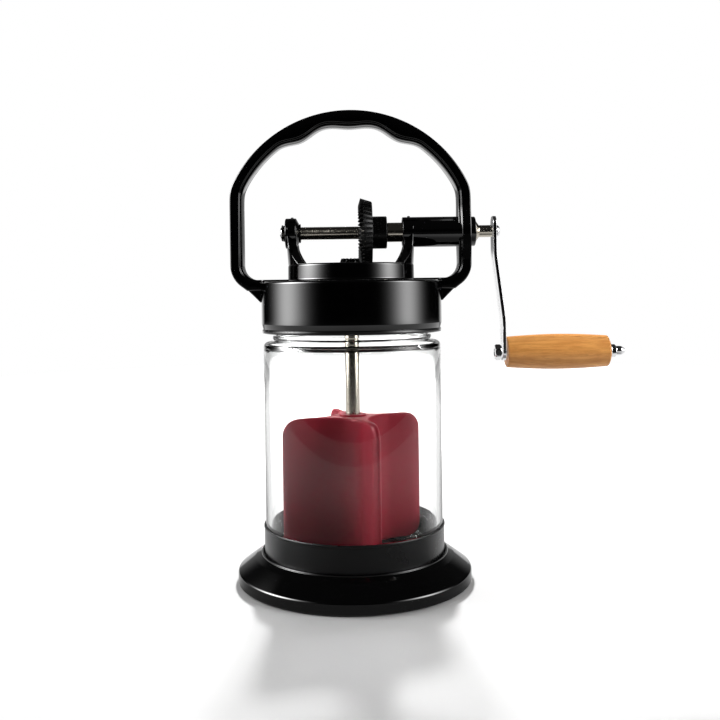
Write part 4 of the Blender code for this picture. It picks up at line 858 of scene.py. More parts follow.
def cap_grid():
    """Outer lid: rounded shoulder, upright skirt and a chamfered lower edge."""
    bore = CAP_RADIUS - CAP_WALL
    plate = CAP_TOP - CAP_PLATE
    return disc_grid([(ROD_HOLE, plate, 0), (bore, plate, SOFT), (bore, CAP_LOW, HAIR),
                      (CAP_RADIUS - CAP_CHAMFER_DEPTH, CAP_LOW, HAIR),
                      (CAP_RADIUS, CAP_LOW + CAP_CHAMFER, CAP_CHAMFER_ROUND),
                      (CAP_RADIUS, CAP_TOP, CAP_ROUND), (ROD_HOLE, CAP_TOP, 0)], segments=WIDE_SEGMENTS)


def liner_grid():
    """Inner lid with a foot that stands out below the outer lid."""
    plate = LINER_TOP - LINER_PLATE
    foot_top = LINER_LOW + LINER_FOOT
    outer = LINER_BORE + LINER_WALL
    return disc_grid([(ROD_HOLE, plate, 0), (LINER_BORE, plate, SOFT), (LINER_BORE, LINER_LOW, CRISP),
                      (LINER_FOOT_RADIUS, LINER_LOW, SOFT), (LINER_FOOT_RADIUS, foot_top, KEEN),
                      (outer, foot_top, 0), (outer, LINER_TOP, KEEN), (ROD_HOLE, LINER_TOP, 0)],
                     segments=WIDE_SEGMENTS)


def finger_bump(angle):
    """How far the handle's underside stands below its arch, for an angle in degrees from the top."""
    angle = np.abs(angle)
    fade = smooth_window(np.maximum(0, angle - BUMP_OUTER_ANGLE), BUMP_FADE)
    return (BUMP_BASE * fade + BUMP_CENTRE * smooth_window(angle, BUMP_CENTRE_SPAN)
            + BUMP_OUTER * smooth_window(angle - BUMP_OUTER_ANGLE, BUMP_OUTER_SPAN))


def arch_line(inner):
    """Arch as a distance from its centre: the softer of a circle and a straight leg."""
    angle = np.linspace(-90, 90, 241)
    radians = np.radians(angle)
    run = np.maximum(np.abs(np.sin(radians)), CLOSE)
    circle = np.full_like(angle, ARCH_RADIUS)
    leg = HANDLE_HALF_WIDTH
    if inner:
        circle = circle - ARCH_THICKNESS - finger_bump(angle)
        leg = leg - HANDLE_LEG
    least = np.minimum(circle, leg / run)
    other = np.maximum(circle, leg / run)
    radius = least - ARCH_BLEND * np.log1p(np.exp(-(other - least) / ARCH_BLEND))
    return np.stack([-radius * np.sin(radians), HANDLE_Z + radius * np.cos(radians)], -1)


def line(start, end, count):
    """Evenly spaced points from one place to another, without the last."""
    share = np.linspace(0, 1, count, endpoint=False)[:, None]
    return np.array(start) * (1 - share) + np.array(end) * share


def bend(centre, radius, start, end, count):
    """Points of an arc, angles in degrees, without the last."""
    angle = np.radians(np.linspace(start, end, count, endpoint=False))
    return np.stack([centre[0] + radius * np.cos(angle), centre[1] + radius * np.sin(angle)], -1)


def lower_lines():
    """Outer and inner line of the handle's left foot, from the leg down to the middle of the strap."""
    wall = CAP_RADIUS + GAP
    inner_leg = HANDLE_HALF_WIDTH - HANDLE_LEG
    floor = FRAME_Z + STRAP
    foot = (-HANDLE_FOOT_X, HANDLE_FOOT_Z)
    outer_centre = (-HANDLE_HALF_WIDTH + HANDLE_CORNER, HANDLE_CORNER_Z)
    inner_centre = (-inner_leg + HANDLE_INNER_CORNER, floor + HANDLE_INNER_CORNER)
    reach = np.array(foot) - np.array(outer_centre)
    span = np.linalg.norm(reach)
    tangent = math.degrees(math.atan2(reach[1], reach[0])
                           - math.acos(min(1.0, HANDLE_CORNER / span))) % 360
    corner_end = (outer_centre[0] + HANDLE_CORNER * math.cos(math.radians(tangent)),
                  outer_centre[1] + HANDLE_CORNER * math.sin(math.radians(tangent)))
    outer = [line((-HANDLE_HALF_WIDTH, HANDLE_Z), (-HANDLE_HALF_WIDTH, outer_centre[1]), 6),
             bend(outer_centre, HANDLE_CORNER, 180, tangent, 24), line(corner_end, foot, 8),
             line(foot, (-wall, HANDLE_FOOT_Z), 6), line((-wall, HANDLE_FOOT_Z), (-wall, FRAME_Z), 6),
             line((-wall, FRAME_Z), (0, FRAME_Z), 16)]
    stops = [inner_centre[0] + stop for stop in STRAP_STOPS] + [0]
    inner = [line((-inner_leg, HANDLE_Z), (-inner_leg, inner_centre[1]), 6),
             bend(inner_centre, HANDLE_INNER_CORNER, 180, 270, 24)]
    inner += [line((start, floor), (end, floor), count)
              for start, end, count in zip(stops, stops[1:], STRAP_COUNTS)]
    return np.concatenate(outer), np.concatenate(inner)


def handle_grid():
    """Carry handle: a section with soft edges and a stepped inner lip carried round a closed loop.

    At each station the section runs from the outer line (share 0) to the inner line (share 1).
    Edge radii are lengths, so they keep their size where the loop is thicker or thinner.
    """
    left_outer, left_inner = lower_lines()
    flip = np.array([-1, 1])
    middle_outer, middle_inner = np.array([[0, FRAME_Z]]), np.array([[0, FRAME_Z + STRAP]])
    outer = np.concatenate([arch_line(False)[:-1], left_outer, middle_outer, (left_outer * flip)[:0:-1]])
    inner = np.concatenate([arch_line(True)[:-1], left_inner, middle_inner, (left_inner * flip)[:0:-1]])
    across = inner - outer
    width = np.linalg.norm(across, axis=1)
    thin = np.clip(width / HANDLE_LEG, 0.0, 1.0)
    edge = (HANDLE_EDGE * thin)[:, None]
    lip = (HANDLE_LIP * thin)[:, None]
    step = (HANDLE_LIP_STEP * thin)[:, None]
    soft = (HANDLE_LIP_ROUND * thin)[:, None]
    at_tube = smooth_window(outer[:, 1] - CRANK_Z, LEG_SWELL_SPAN) * (outer[:, 0] > HANDLE_HALF_WIDTH / 2)
    half = (HANDLE_DEPTH / 2 + LEG_SWELL * at_tube)[:, None]
    quarter = np.radians(np.linspace(0, 90, 5))[None]
    rise, fall = 1 - np.cos(quarter), 1 - np.sin(quarter)
    full = width[:, None]
    last = edge * HANDLE_LIP_EDGE
    near = np.concatenate([edge * rise, full - lip - soft * fall, full - lip + soft * rise,
                           full - last * fall], 1)
    deep = np.concatenate([half - edge * fall, half - soft * rise, half - step + soft * fall,
                           half - step - last * rise], 1)
    share = np.concatenate([near, near[:, ::-1]], 1) / full
    depth = np.concatenate([-deep, deep[:, ::-1]], 1)
    flat = outer[:, None] + across[:, None] * share[..., None]
    x, z = flat[..., 0], flat[..., 1]
    wall = CAP_RADIUS + GAP
    against = (np.abs(np.abs(outer[:, 0]) - wall) < CLOSE) & (outer[:, 1] < FRAME_Z + CLOSE)
    shift = (wall - np.sqrt(wall ** 2 - depth ** 2)) * (1 - share) * against[:, None]
    return np.stack([x - np.sign(x) * shift, depth, z], -1)


def gusset_grid(side):
    """Thin rib that carries the handle's foot down the side of the lid."""
    wall = CAP_RADIUS + GAP
    top = HANDLE_FOOT_Z + GUSSET_SINK
    outline = rounded([(wall, top, 0), (HANDLE_FOOT_X - TOUCH, top, 0),
                       (HANDLE_FOOT_X - KEEN, HANDLE_FOOT_Z, SOFT), (wall, GUSSET_TIP, HAIR)], 3)
    grid = slab(outline, -GUSSET_HALF, GUSSET_HALF, SOFT, lambda u, v, w: (u, w, v))
    curve = wall - np.sqrt(wall ** 2 - grid[..., 1] ** 2)
    grid[..., 0] -= curve
    grid[..., 0] *= side
    return grid


def boss_grid():
    """Round boss on the lid, with a slight draft and a well round the pinion."""
    well_floor = FRAME_Z + WELL_FLOOR
    return disc_grid([(ROD_HOLE, FRAME_Z, 0), (BOSS_RADIUS + BOSS_FILLET_REACH, FRAME_Z, 0),
                      (BOSS_RADIUS, FRAME_Z + TOUCH, BOSS_FILLET),
                      (BOSS_RADIUS - BOSS_DRAFT, BOSS_TOP, BOSS_ROUND), (WELL_RADIUS, BOSS_TOP, WELL_ROUND),
                      (WELL_RADIUS, well_floor, WELL_FLOOR_ROUND), (ROD_HOLE, well_floor, 0)],
                     segments=BOSS_SEGMENTS)


def post_grid(side, lean):
    """Bearing post: a piece of ring wall whose two edges flare out towards the boss.

    At each level the section is a box in radius and arc length with round edges, and its long
    sides follow the ring. Its half width is the post's own above the flare and grows along a soft
    curve below it. The lean is how far the outer side moves out on the way up.
    """
    top = CRANK_Z + POST_RISE
    foot = BOSS_TOP - POST_SINK
    flare = rounded([(POST_HALF, top, 0), (POST_HALF, BOSS_TOP + POST_FLARE_RISE, POST_FLARE_ROUND),
                     (POST_FLARE, BOSS_TOP, POST_TOE_ROUND), (POST_FLARE + POST_TOE, foot, 0),
                     (0, foot, 0), (0, top, 0)], 16)[:-2]
    level = np.linspace(foot, top, 90)
    half = np.interp(level, flare[::-1, 1], flare[::-1, 0])[:, None]
    share = ((level - foot) / (top - foot))[:, None]
    quarter = np.radians(np.linspace(0, 90, 7))
    corner = np.concatenate([quarter + number * math.pi / 2 for number in range(4)])
    along = np.linspace(-1, 1, 15)[1:-1]
    one, none, half_way = np.ones(len(along)), np.zeros(len(along)), 2 * len(quarter)

    def section(corners, inner_side, outer_side):
        """Values at the four corners, with those along the two long sides set in between."""
        return np.concatenate([corners[:half_way], inner_side, corners[half_way:], outer_side])

    sign_u = section(np.repeat([1, -1, -1, 1], len(quarter)), -one, one)
    sign_v = section(np.repeat([1, 1, -1, -1], len(quarter)), -along, along)
    rim_u = section(POST_EDGE * np.cos(corner), -POST_EDGE * one, POST_EDGE * one)
    rim_v = section(POST_EDGE * np.sin(corner), none, none)
    outer, inner = POST_OUTER + lean * share, np.full_like(share, POST_INNER)
    middle, thick = (outer + inner) / 2, (outer - inner) / 2
    radius = middle + sign_u * (thick - POST_EDGE) + rim_u
    turn = np.arcsin((sign_v * (half - POST_EDGE) + rim_v) / middle)
    ring = np.stack([side * radius * np.cos(turn), radius * np.sin(turn),
                     np.broadcast_to(level[:, None], turn.shape)], -1)
    caps = [np.broadcast_to(row.mean(1, keepdims=True), row.shape) for row in (ring[:1], ring[-1:])]
    return np.concatenate([caps[0], ring, caps[1]])


def head_grid():
    """Left bearing head with a coned nose."""
    return disc_grid([(LEFT_BORE, -HEAD_OUTER, HAIR), (HEAD_RADIUS, -HEAD_OUTER, FULL),
                      (HEAD_RADIUS, -HEAD_INNER - HEAD_NOSE, SOFT), (HEAD_NOSE_RADIUS, -HEAD_INNER, CRISP),
                      (LEFT_BORE, -HEAD_INNER, 0)], *CRANK_AXIS, HEAD_SEGMENTS)


def tube_grid():
    """Bearing tube from the right post through the handle's leg to its outer end."""
    return disc_grid([(TUBE_BORE, HEAD_INNER, CRISP), (TUBE_RADIUS, HEAD_INNER, TUBE_EDGE),
                      (TUBE_RADIUS, TUBE_END_START, 0), (TUBE_END_RADIUS, TUBE_END_START, 0),
                      (TUBE_END_RADIUS, TUBE_END, TUBE_END_ROUND), (TUBE_BORE, TUBE_END, CRISP)],
                     *CRANK_AXIS, TUBE_SEGMENTS)


def nub_grid(side):
    """Small moulded nub on top of a bearing head."""
    top = CRANK_Z + HEAD_RADIUS
    return disc_grid([(0, top - NUB_HEIGHT, 0), (NUB_RADIUS, top - NUB_HEIGHT, 0),
                      (NUB_RADIUS, top + NUB_HEIGHT, SOFT), (0, top + NUB_HEIGHT, 0)],
                     "Z", (side * NUB_X, 0, 0), NUB_SEGMENTS)


def tooth_row(teeth, pitch_radius, cone, phase):
    """Radius, distance along the axis and angle of every tooth point at one cone distance.

    Offsets stand at right angles to the pitch cone, and shrink with the cone distance.
    """
    share = cone / CONE_OUTER
    lean = math.asin(pitch_radius / CONE_OUTER)
    offset = np.array([level * (ADDENDUM if level > 0 else DEDENDUM) for level, _ in TOOTH_WIDTHS])
    width = np.array([value for _, value in TOOTH_WIDTHS])
    radius = (pitch_radius + offset * math.cos(lean)) * share
    along = (CONE_OUTER * math.cos(lean) - offset * math.sin(lean)) * share
    reach = width * share / 2 / radius
    radius = np.concatenate([radius, radius[::-1]])
    along = np.concatenate([along, along[::-1]])
    reach = np.concatenate([-reach, reach[::-1]])
    middle = TURN * (np.arange(teeth) + phase) / teeth
    angle = (middle[:, None] + reach[None]).ravel()
    return np.tile(radius, teeth), np.tile(along, teeth), angle


def bevel_grid(teeth, pitch_radius, body, phase, ridge=0.0):
    """Rows of a straight bevel gear: teeth between two cone distances, closed by a turned body.

    Where the ridge is above 0, that share of the teeth's height runs on over the back cone.
    """
    heel = tooth_row(teeth, pitch_radius, CONE_OUTER, phase)
    toe = tooth_row(teeth, pitch_radius, CONE_INNER, phase)
    angle = heel[2]
    rise = heel[0] - heel[0].min()
    rows = [toe, heel] + [(radius + rise * ridge * (number == 0), np.full_like(angle, along), angle)
                          for number, (radius, along) in enumerate(body)]
    return tuple(np.stack(part) for part in zip(*rows))


def drive_gear_grid():
    """Large gear on the crank shaft with its hub."""
    lean = math.asin(GEAR_RADIUS / CONE_OUTER)
    back = PINION_RADIUS + GEAR_BACK
    back_radius = GEAR_RADIUS - GEAR_BACK / math.tan(lean)
    toe_share = CONE_INNER / CONE_OUTER
    front_radius = (GEAR_RADIUS - DEDENDUM * math.cos(lean)) * toe_share - GEAR_FACE_INSET
    front = (PINION_RADIUS + DEDENDUM * math.sin(lean)) * toe_share + GEAR_FACE_DEPTH
    hub_end, bore = back + GEAR_HUB_LENGTH, SHAFT_RADIUS + GAP
    body = [(back_radius, back - KEEN), (back_radius - KEEN, back), (GEAR_HUB + KEEN, back),
            (GEAR_HUB, back + KEEN), (GEAR_HUB, hub_end - KEEN), (GEAR_HUB - KEEN, hub_end), (bore, hub_end),
            (bore, front), (front_radius - KEEN, front), (front_radius, front + KEEN)]
    radius, along, angle = bevel_grid(GEAR_TEETH, GEAR_RADIUS, body, 0.0, GEAR_RIDGE)
    return np.stack([along, radius * np.sin(angle), CRANK_Z - radius * np.cos(angle)], -1)


def pinion_grid():
    """Small gear on the rod."""
    heel = GEAR_RADIUS + DEDENDUM * PINION_RADIUS / CONE_OUTER
    hub_end = GEAR_RADIUS + PINION_HUB_LENGTH
    toe = GEAR_RADIUS * CONE_INNER / CONE_OUTER
    body = [(PINION_HUB, heel), (PINION_HUB, hub_end - CRISP), (PINION_HUB - CRISP, hub_end),
            (PINION_BORE, hub_end), (PINION_BORE, toe)]
    radius, along, angle = bevel_grid(PINION_TEETH, PINION_RADIUS, body, 0.5)
    return np.stack([radius * np.cos(angle), radius * np.sin(angle), CRANK_Z - along], -1)


def shaft_grid(settings):
    """Crank shaft turned from its section, with a fine thread wound on its thin left part."""
    start = SHAFT_START + SLOT_DEPTH
    end_radius, end_stop = SHAFT_RADIUS - CRISP, start + SHAFT_END_LENGTH
    cone_start = TUBE_END + GAP
    cone_end = cone_start + SHAFT_CONE
    stub_end = cone_end + SHAFT_STUB_LENGTH
    threaded = np.arange(SHAFT_THREAD_START, SHAFT_THREAD_END, settings.thread_pitch / SHAFT_THREAD_STEPS)
    corners = [(0, start, 0), (end_radius, start, HAIR), (end_radius, end_stop, 0),
               (SHAFT_RADIUS, end_stop, 0)]
    corners += [(SHAFT_RADIUS, place, 0) for place in threaded]
    corners += [(SHAFT_RADIUS, SHAFT_STEP, 0), (SHAFT_THICK, SHAFT_STEP, SHAFT_STEP_ROUND),
                (SHAFT_THICK, cone_start - GAP, 0), (SHAFT_CONE_RADIUS, cone_start, HAIR),
                (SHAFT_STUB, cone_end, KEEN), (SHAFT_STUB, stub_end, HAIR), (0, stub_end, 0)]
    grid = turned(rounded(corners, 4), *CRANK_AXIS, SMALL_SEGMENTS)
    along, across, over = grid[..., 0], grid[..., 1], grid[..., 2] - CRANK_Z
    radius = np.hypot(across, over)
    inside = (along >= threaded[0]) & (along <= threaded[-1]) & (radius > SHAFT_RADIUS - CLOSE)
    wave = np.cos(TURN * along / settings.thread_pitch - np.arctan2(over, across))
    cut = np.where(inside, 1 - SHAFT_THREAD_DEPTH * (1 - wave) / 2 / SHAFT_RADIUS, 1.0)
    grid[..., 1] = across * cut
    grid[..., 2] = CRANK_Z + over * cut
    return grid


def lobe_grid(side):
    """Half of the shaft's slotted end: a circle cut off at the slot, with a large round edge."""
    radius = SHAFT_RADIUS + TOUCH
    slot = math.asin(SLOT_WIDTH / 2 / radius)
    angle = np.linspace(slot, math.pi - slot, 40)
    arc = radius * np.stack([np.cos(angle), np.sin(angle)], -1)
    outline = np.concatenate([arc[:-1], line(arc[-1], arc[0], 14)])
    return slab(outline, SHAFT_START, SHAFT_START + LOBE_LENGTH, LOBE_ROUND,
                lambda u, v, w: (w, u, CRANK_Z + side * v), 6)


def arm_shift(height):
    """How far the arm stands outwards at a height under the crank axis, with soft bends."""
    share = (-height - ARM_BEND_START) / (ARM_BEND_END - ARM_BEND_START)
    rise = ARM_BEND_SOFT * (np.logaddexp(0, share / ARM_BEND_SOFT)
                            - np.logaddexp(0, (share - 1) / ARM_BEND_SOFT))
    return ARM_OFFSET * rise


def arm_grid():
    """Flat crank arm with round corners, bent outwards below its shaft end.

    Its faces are filled towards a spine, so that they bend with the arm.
    """
    top, bottom, half = ARM_TOP - CRANK_Z, ARM_LOW - CRANK_Z, ARM_HALF_WIDTH
    rows = np.linspace(0, 1, 40)[:, None]
    ends = rounded([(half, bottom, ARM_CORNER), (half, top, ARM_CORNER), (-half, top, ARM_CORNER),
                    (-half, bottom, ARM_CORNER)], 10)
    low_right, high_right, high_left, low_left = np.split(ends, 4)
    right = low_right[-1] * (1 - rows) + high_right[0] * rows
    left = high_left[-1] * (1 - rows) + low_left[0] * rows
    outline = np.concatenate([low_right, right[1:-1], high_right, high_left, left[1:-1], low_left])
    normal = outline_normals(outline)
    quarter = np.radians(np.linspace(0, 90, 5))
    inset, rise = ARM_EDGE * (1 - np.sin(quarter)), ARM_EDGE * (1 - np.cos(quarter))
    sides = [(outline - normal * pull, push) for pull, push in
             zip([*inset, *inset[::-1]], [*rise, *(ARM_THICKNESS - rise[::-1])])]
    flat = outline - normal * ARM_EDGE
    level = np.clip(flat[:, 1], bottom + half, top - half)
    faces = [np.stack([flat[:, 0] * share, level + (flat[:, 1] - level) * share], -1)
             for share in (0.0, 0.33, 0.66)]
    ladder = [(face, 0.0) for face in faces] + sides + [(face, ARM_THICKNESS) for face in faces[::-1]]
    grid = np.stack([np.stack([np.full(len(row), push), row[:, 0], row[:, 1]], -1) for row, push in ladder])
    grid[..., 0] += ARM_START + arm_shift(grid[..., 2])
    grid[..., 2] += CRANK_Z
    return grid


def hex_grid(flats, start, end, bore, chamfer=0.0005, twist=0.0):
    """Hexagon nut on the grip's axis: its radius is the lesser of the hexagon and of a cone at each end."""
    angle = np.linspace(0, TURN, 96, endpoint=False)
    hexagon = flats / 2 / np.cos((angle - math.radians(twist) + TURN / 12) % (TURN / 6) - TURN / 12)
    corner = flats / 2 / math.cos(TURN / 12)
    place = np.array([start, start, start + chamfer, start + 2 * chamfer, end - 2 * chamfer,
                      end - chamfer, end, end])
    limits = [bore, flats / 2 * 0.96, corner - chamfer * 0.6, corner + chamfer]
    radius = np.minimum(hexagon[:, None], np.array(limits + limits[::-1])[None])
    level = np.broadcast_to(place[None], radius.shape)
    return np.stack([level, radius * np.cos(angle)[:, None],
                     GRIP_Z + radius * np.sin(angle)[:, None]], -1)


def grip_grid():
    """Turned grip: a slight belly, a soft inner end and a chamfered outer end."""
    share = np.linspace(0, 1, 40)
    belly = GRIP_END_RADIUS + (GRIP_RADIUS - GRIP_END_RADIUS) * np.sin(math.pi * share)
    end = GRIP_END - GRIP_SHORT
    length = end - GRIP_START
    corners = [(GRIP_BORE, GRIP_START, 0), (GRIP_END_RADIUS, GRIP_START, GRIP_ROUND)]
    corners += [(radius, GRIP_START + length * part, 0) for radius, part in
                zip(belly[1:-1], share[1:-1]) if part < 1 - GRIP_CHAMFER / length]
    corners += [(GRIP_END_RADIUS + TOUCH, end - GRIP_CHAMFER * 0.8, GRIP_ROUND),
                (GRIP_END_RADIUS - GRIP_CHAMFER * 1.5, end, FULL), (GRIP_BORE, end, HAIR)]
    return turned(rounded(corners), *GRIP_AXIS, TUBE_SEGMENTS)


def cap_nut_grids():
    """Domed end nut: a thin flange, a small hexagon and a dome with a soft tip."""
    start = low("grip_cap_nut", "X") - GRIP_SHORT
    end = high("grip_cap_nut", "X") - GRIP_SHORT / 2
    hex_start = start + NUT_FLANGE - TOUCH
    hex_end = hex_start + NUT_HEX_LENGTH
    flange = disc_grid([(NUT_BORE, start, 0), (NUT_FLANGE_RADIUS, start, CRISP),
                        (NUT_FLANGE_RADIUS, start + NUT_FLANGE, KEEN), (NUT_BORE, start + NUT_FLANGE, 0)],
                       *GRIP_AXIS, NUT_SEGMENTS)
    body = hex_grid(NUT_FLATS, hex_start, hex_end, NUT_BORE, CRISP, NUT_TWIST)
    dome = disc_grid([(0, hex_end - KEEN, 0), (NUT_DOME_FOOT, hex_end - KEEN, 0),
                      (NUT_DOME_FOOT, hex_end + HAIR, TOUCH), (NUT_DOME_RADIUS, hex_end + SOFT, KEEN),
                      (NUT_DOME_RADIUS, end - NUT_DOME_DROP, NUT_DOME_ROUND), (NUT_TIP, end, NUT_TIP_ROUND),
                      (0, end, 0)], *GRIP_AXIS, NUT_SEGMENTS)
    return [flange, body, dome]


def spun(points, turn):
    """Flat points turned round the origin."""
    cosine, sine = math.cos(turn), math.sin(turn)
    return points @ np.array([[cosine, -sine], [sine, cosine]]).T


def paddle_grid():
    """Silicone paddle: a cross of blades, whose tips draw in where the outer corners are round.

    Seen from above each blade is half an ellipse and half of two round hollows. A level's reach is
    the blade's length less the corner's quarter circle, and near both faces the whole outline
    also draws in by the edge radius.
    """
    sector = TURN / PADDLE_BLADES
    tip_angle = np.linspace(-math.pi / 2, math.pi / 2, 25)
    tip = np.stack([PADDLE_RADIUS - TIP_LENGTH + TIP_LENGTH * np.cos(tip_angle),
                    BLADE_TIP / 2 * np.sin(tip_angle)], -1)
    middle = HOLLOW_CENTRE * np.array([math.cos(sector / 2), math.sin(sector / 2)])
    hollow_angle = np.linspace(-math.pi / 2, -math.pi, 33)
    hollow = middle + HOLLOW_RADIUS * np.stack([np.cos(hollow_angle), np.sin(hollow_angle)], -1)
    sweep = np.concatenate([tip, line(tip[-1], hollow[0], 7)[1:], hollow,
                            line(hollow[-1], spun(tip[0], sector), 7)[1:]])
    outline = np.concatenate([spun(sweep, sector * blade + math.radians(PADDLE_TURN))
                              for blade in range(PADDLE_BLADES)])
    normal = outline_normals(outline)
    top = PADDLE_LOW + PADDLE_HEIGHT
    quarter = np.linspace(0, math.pi / 2, 7)
    near_low = PADDLE_LOW + PADDLE_EDGE * (1 - np.cos(quarter))
    near_top = top - PADDLE_EDGE * (1 - np.cos(quarter))[::-1]
    between = np.linspace(PADDLE_LOW + PADDLE_EDGE, top - PADDLE_EDGE, 70)[1:-1]
    level = np.concatenate([near_low, between, near_top])
    inset = np.concatenate([PADDLE_EDGE * (1 - np.sin(quarter)), np.zeros(len(between)),
                            PADDLE_EDGE * (1 - np.sin(quarter[::-1]))])
    from_low = np.clip(1 - (level - PADDLE_LOW) / PADDLE_LOW_CORNER, 0, 1)
    from_top = np.clip(1 - (top - level) / PADDLE_TOP_CORNER, 0, 1)
    reach = (PADDLE_RADIUS - PADDLE_LOW_CORNER * (1 - np.sqrt(1 - from_low ** 2))
             - PADDLE_TOP_CORNER * (1 - np.sqrt(1 - from_top ** 2)))
    flat = outline[None] - normal[None] * inset[:, None, None]
    radius = np.linalg.norm(flat, axis=2)
    core = PADDLE_RADIUS * PADDLE_CORE_SHARE
    out = np.clip((radius - core) / (PADDLE_RADIUS - core), 0, 1)
    pulled = np.where(radius > core, core + out * (reach[:, None] - core), radius)
    flat = flat * (pulled / radius)[..., None]
    rings = [np.concatenate([flat[:1] * share, np.full(flat[:1, :, :1].shape, PADDLE_LOW)], 2)
             for share in (0.0, 0.35, 0.7)]
    rings.append(np.concatenate([flat, np.broadcast_to(level[:, None, None], flat[..., :1].shape)], 2))
    rings += [np.concatenate([flat[-1:] * share, np.full(flat[:1, :, :1].shape, top)], 2)
              for share in (0.7, 0.35, 0.0)]
    return np.concatenate(rings)


def colour_setting(name, description, default):
    """Colour that a user may change."""
    return bpy.props.FloatVectorProperty(name=name, description=description, subtype="COLOR",
                                         min=0.0, max=1.0, default=default)


class ChurnSettings(bpy.types.PropertyGroup):
    """Colours and sizes that a user may change."""

    black: colour_setting("Black Plastic", "Colour of the moulded plastic", (0.0004, 0.0004, 0.0005))
    collar: colour_setting("Collar Rubber", "Colour of the jar's collar", (0.0028, 0.0028, 0.0030))
    paddle: colour_setting("Paddle Silicone", "Colour of the paddle", (0.19, 0.0125, 0.022))
    wood: colour_setting("Grip Wood", "Pale colour of the wooden grip", (0.72, 0.335, 0.088))
    steel: colour_setting("Turned Steel", "Colour of the shaft and the rod", (0.57, 0.53, 0.455))
    chrome: colour_setting("Chrome", "Colour of the crank arm and the nuts", (0.80, 0.80, 0.81))
    thread_pitch: bpy.props.FloatProperty(name="Shaft Thread", description="Pitch of the shaft's fine thread",
                                          subtype="DISTANCE", min=0.0004, max=0.003, default=0.00125)
    light_level: bpy.props.FloatProperty(name="Light Level", description="Strength of the even studio light",
                                         min=0.0, max=3.0, default=0.50)
    strip_level: bpy.props.FloatProperty(name="Strip Level", description="Brightness of the side softboxes",
                                         min=0.0, max=20.0, default=7.3)


class CHURN_OT_stand(bpy.types.Operator):
    """Base, foot pad and jar collar"""

    bl_idname = "churn.stand"
    bl_label = "Stand"

    def execute(self, context):
        """Turn the three round pieces that hold the jar."""
        settings = context.scene.churn
        black = gloss_plastic(settings)
        piece("round_base", "stand", black, [base_grid()], ["base"])
        piece("soft_collar", "stand", soft_rubber(settings), [collar_grid()], ["jar_collar"])
        pad, top = high("foot_pad", "X"), high("foot_pad", "Z")
        grid = disc_grid([(0, 0, 0), (pad, 0, KEEN), (pad, top, HAIR), (0, top, 0)])
        piece("rubber_foot", "stand", plain_finish("foot"), [grid], ["foot_pad"])
        return {"FINISHED"}


class CHURN_OT_jar(bpy.types.Operator):
    """Glass jar with its neck bead and thread"""

    bl_idname = "churn.jar"
    bl_label = "Jar"

    def execute(self, context):
        """Turn the jar."""
        piece("glass_jar", "stand", clear_glass(), [jar_grid()], ["jar"], ROUND_SHARP_ANGLE)
        return {"FINISHED"}


class CHURN_OT_lid(bpy.types.Operator):
    """Outer lid, grey liner and sealing ring"""

    bl_idname = "churn.lid"
    bl_label = "Lid"

    def execute(self, context):
        """Turn the lid's three round pieces."""
        black = gloss_plastic(context.scene.churn)
        piece("outer_lid", "lid", black, [cap_grid()], ["lid_cap"])
        piece("lid_liner_ring", "lid", plain_finish("liner"), [liner_grid()], ["lid_liner"])
        ring = disc_grid([(GASKET_BORE, GASKET_LOW, KEEN), (GASKET_RADIUS, GASKET_LOW, KEEN),
                          (GASKET_RADIUS, GASKET_HIGH, KEEN), (GASKET_BORE, GASKET_HIGH, KEEN)])
        piece("sealing_ring", "seal", plain_finish("seal"), [ring], ["lid_gasket"])
        return {"FINISHED"}


class CHURN_OT_handle(bpy.types.Operator):
    """Carry handle, boss, bearing posts, head and tube"""

    bl_idname = "churn.handle"
    bl_label = "Handle and Bearings"

    def execute(self, context):
        """Carry the handle's section round its loop and set the bearings on the boss."""
        black = gloss_plastic(context.scene.churn)
        for name, grids in (
                ("carry_handle", [handle_grid(), gusset_grid(-1), gusset_grid(1)]),
                ("gear_boss", [boss_grid()]),
                ("bearing_posts", [post_grid(-1, POST_LEAN), post_grid(1, POST_LEAN_RIGHT)]),
                ("left_bearing_head", [head_grid(), nub_grid(-1)]),
                ("right_bearing_tube", [tube_grid(), nub_grid(1)])):
            piece(name, "lid", black, grids, ["handle_frame"])
        return {"FINISHED"}


class CHURN_OT_gears(bpy.types.Operator):
    """Bevel gear on the shaft and pinion on the rod"""

    bl_idname = "churn.gears"
    bl_label = "Gears"

    def execute(self, context):
        """Cut both gears with rounded teeth."""
        black = plain_finish("gears")
        piece("bevel_gear", "crank", black, [drive_gear_grid()], ["drive_gear"],
              GEAR_SHARP_ANGLE)
        piece("bevel_pinion", "rod", black, [pinion_grid()], ["pinion"], GEAR_SHARP_ANGLE)
        return {"FINISHED"}


class CHURN_OT_shaft(bpy.types.Operator):
    """Crank shaft and the small parts that stay as they are in the frame"""

    bl_idname = "churn.shaft"
    bl_label = "Shaft and Small Parts"

    def execute(self, context):
        """Turn the shaft and give the frame's own small pieces their materials."""
        settings = context.scene.churn
        steel = turned_steel(settings, "churn_shaft_steel", (9.0, 0.4, 0.4), 0.00004)
        piece("threaded_shaft", "crank", steel, [shaft_grid(settings)], ["crank_shaft"])
        piece("slotted_shaft_end", "crank", chrome_plate(settings),
              [lobe_grid(1), lobe_grid(-1)], ["crank_shaft"], ROUND_SHARP_ANGLE)
        for finish, names in (
                (plain_finish("bearings"), ("tube_bush_inner", "tube_bush_outer", "rod_bush", "rod_washer")),
                (plain_finish("seal"), ("bush_gasket",)), (plain_finish("gears"), ("left_bush",)),
                (plain_finish("spring"), ("end_washer", "end_clip")),
                (steel, ("gear_set_screw", "pinion_pin", "frame_screw_1", "frame_screw_2",
                         "frame_screw_3", "frame_screw_4"))):
            for name in names:
                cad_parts[name].data.materials.clear()
                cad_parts[name].data.materials.append(finish)
        return {"FINISHED"}


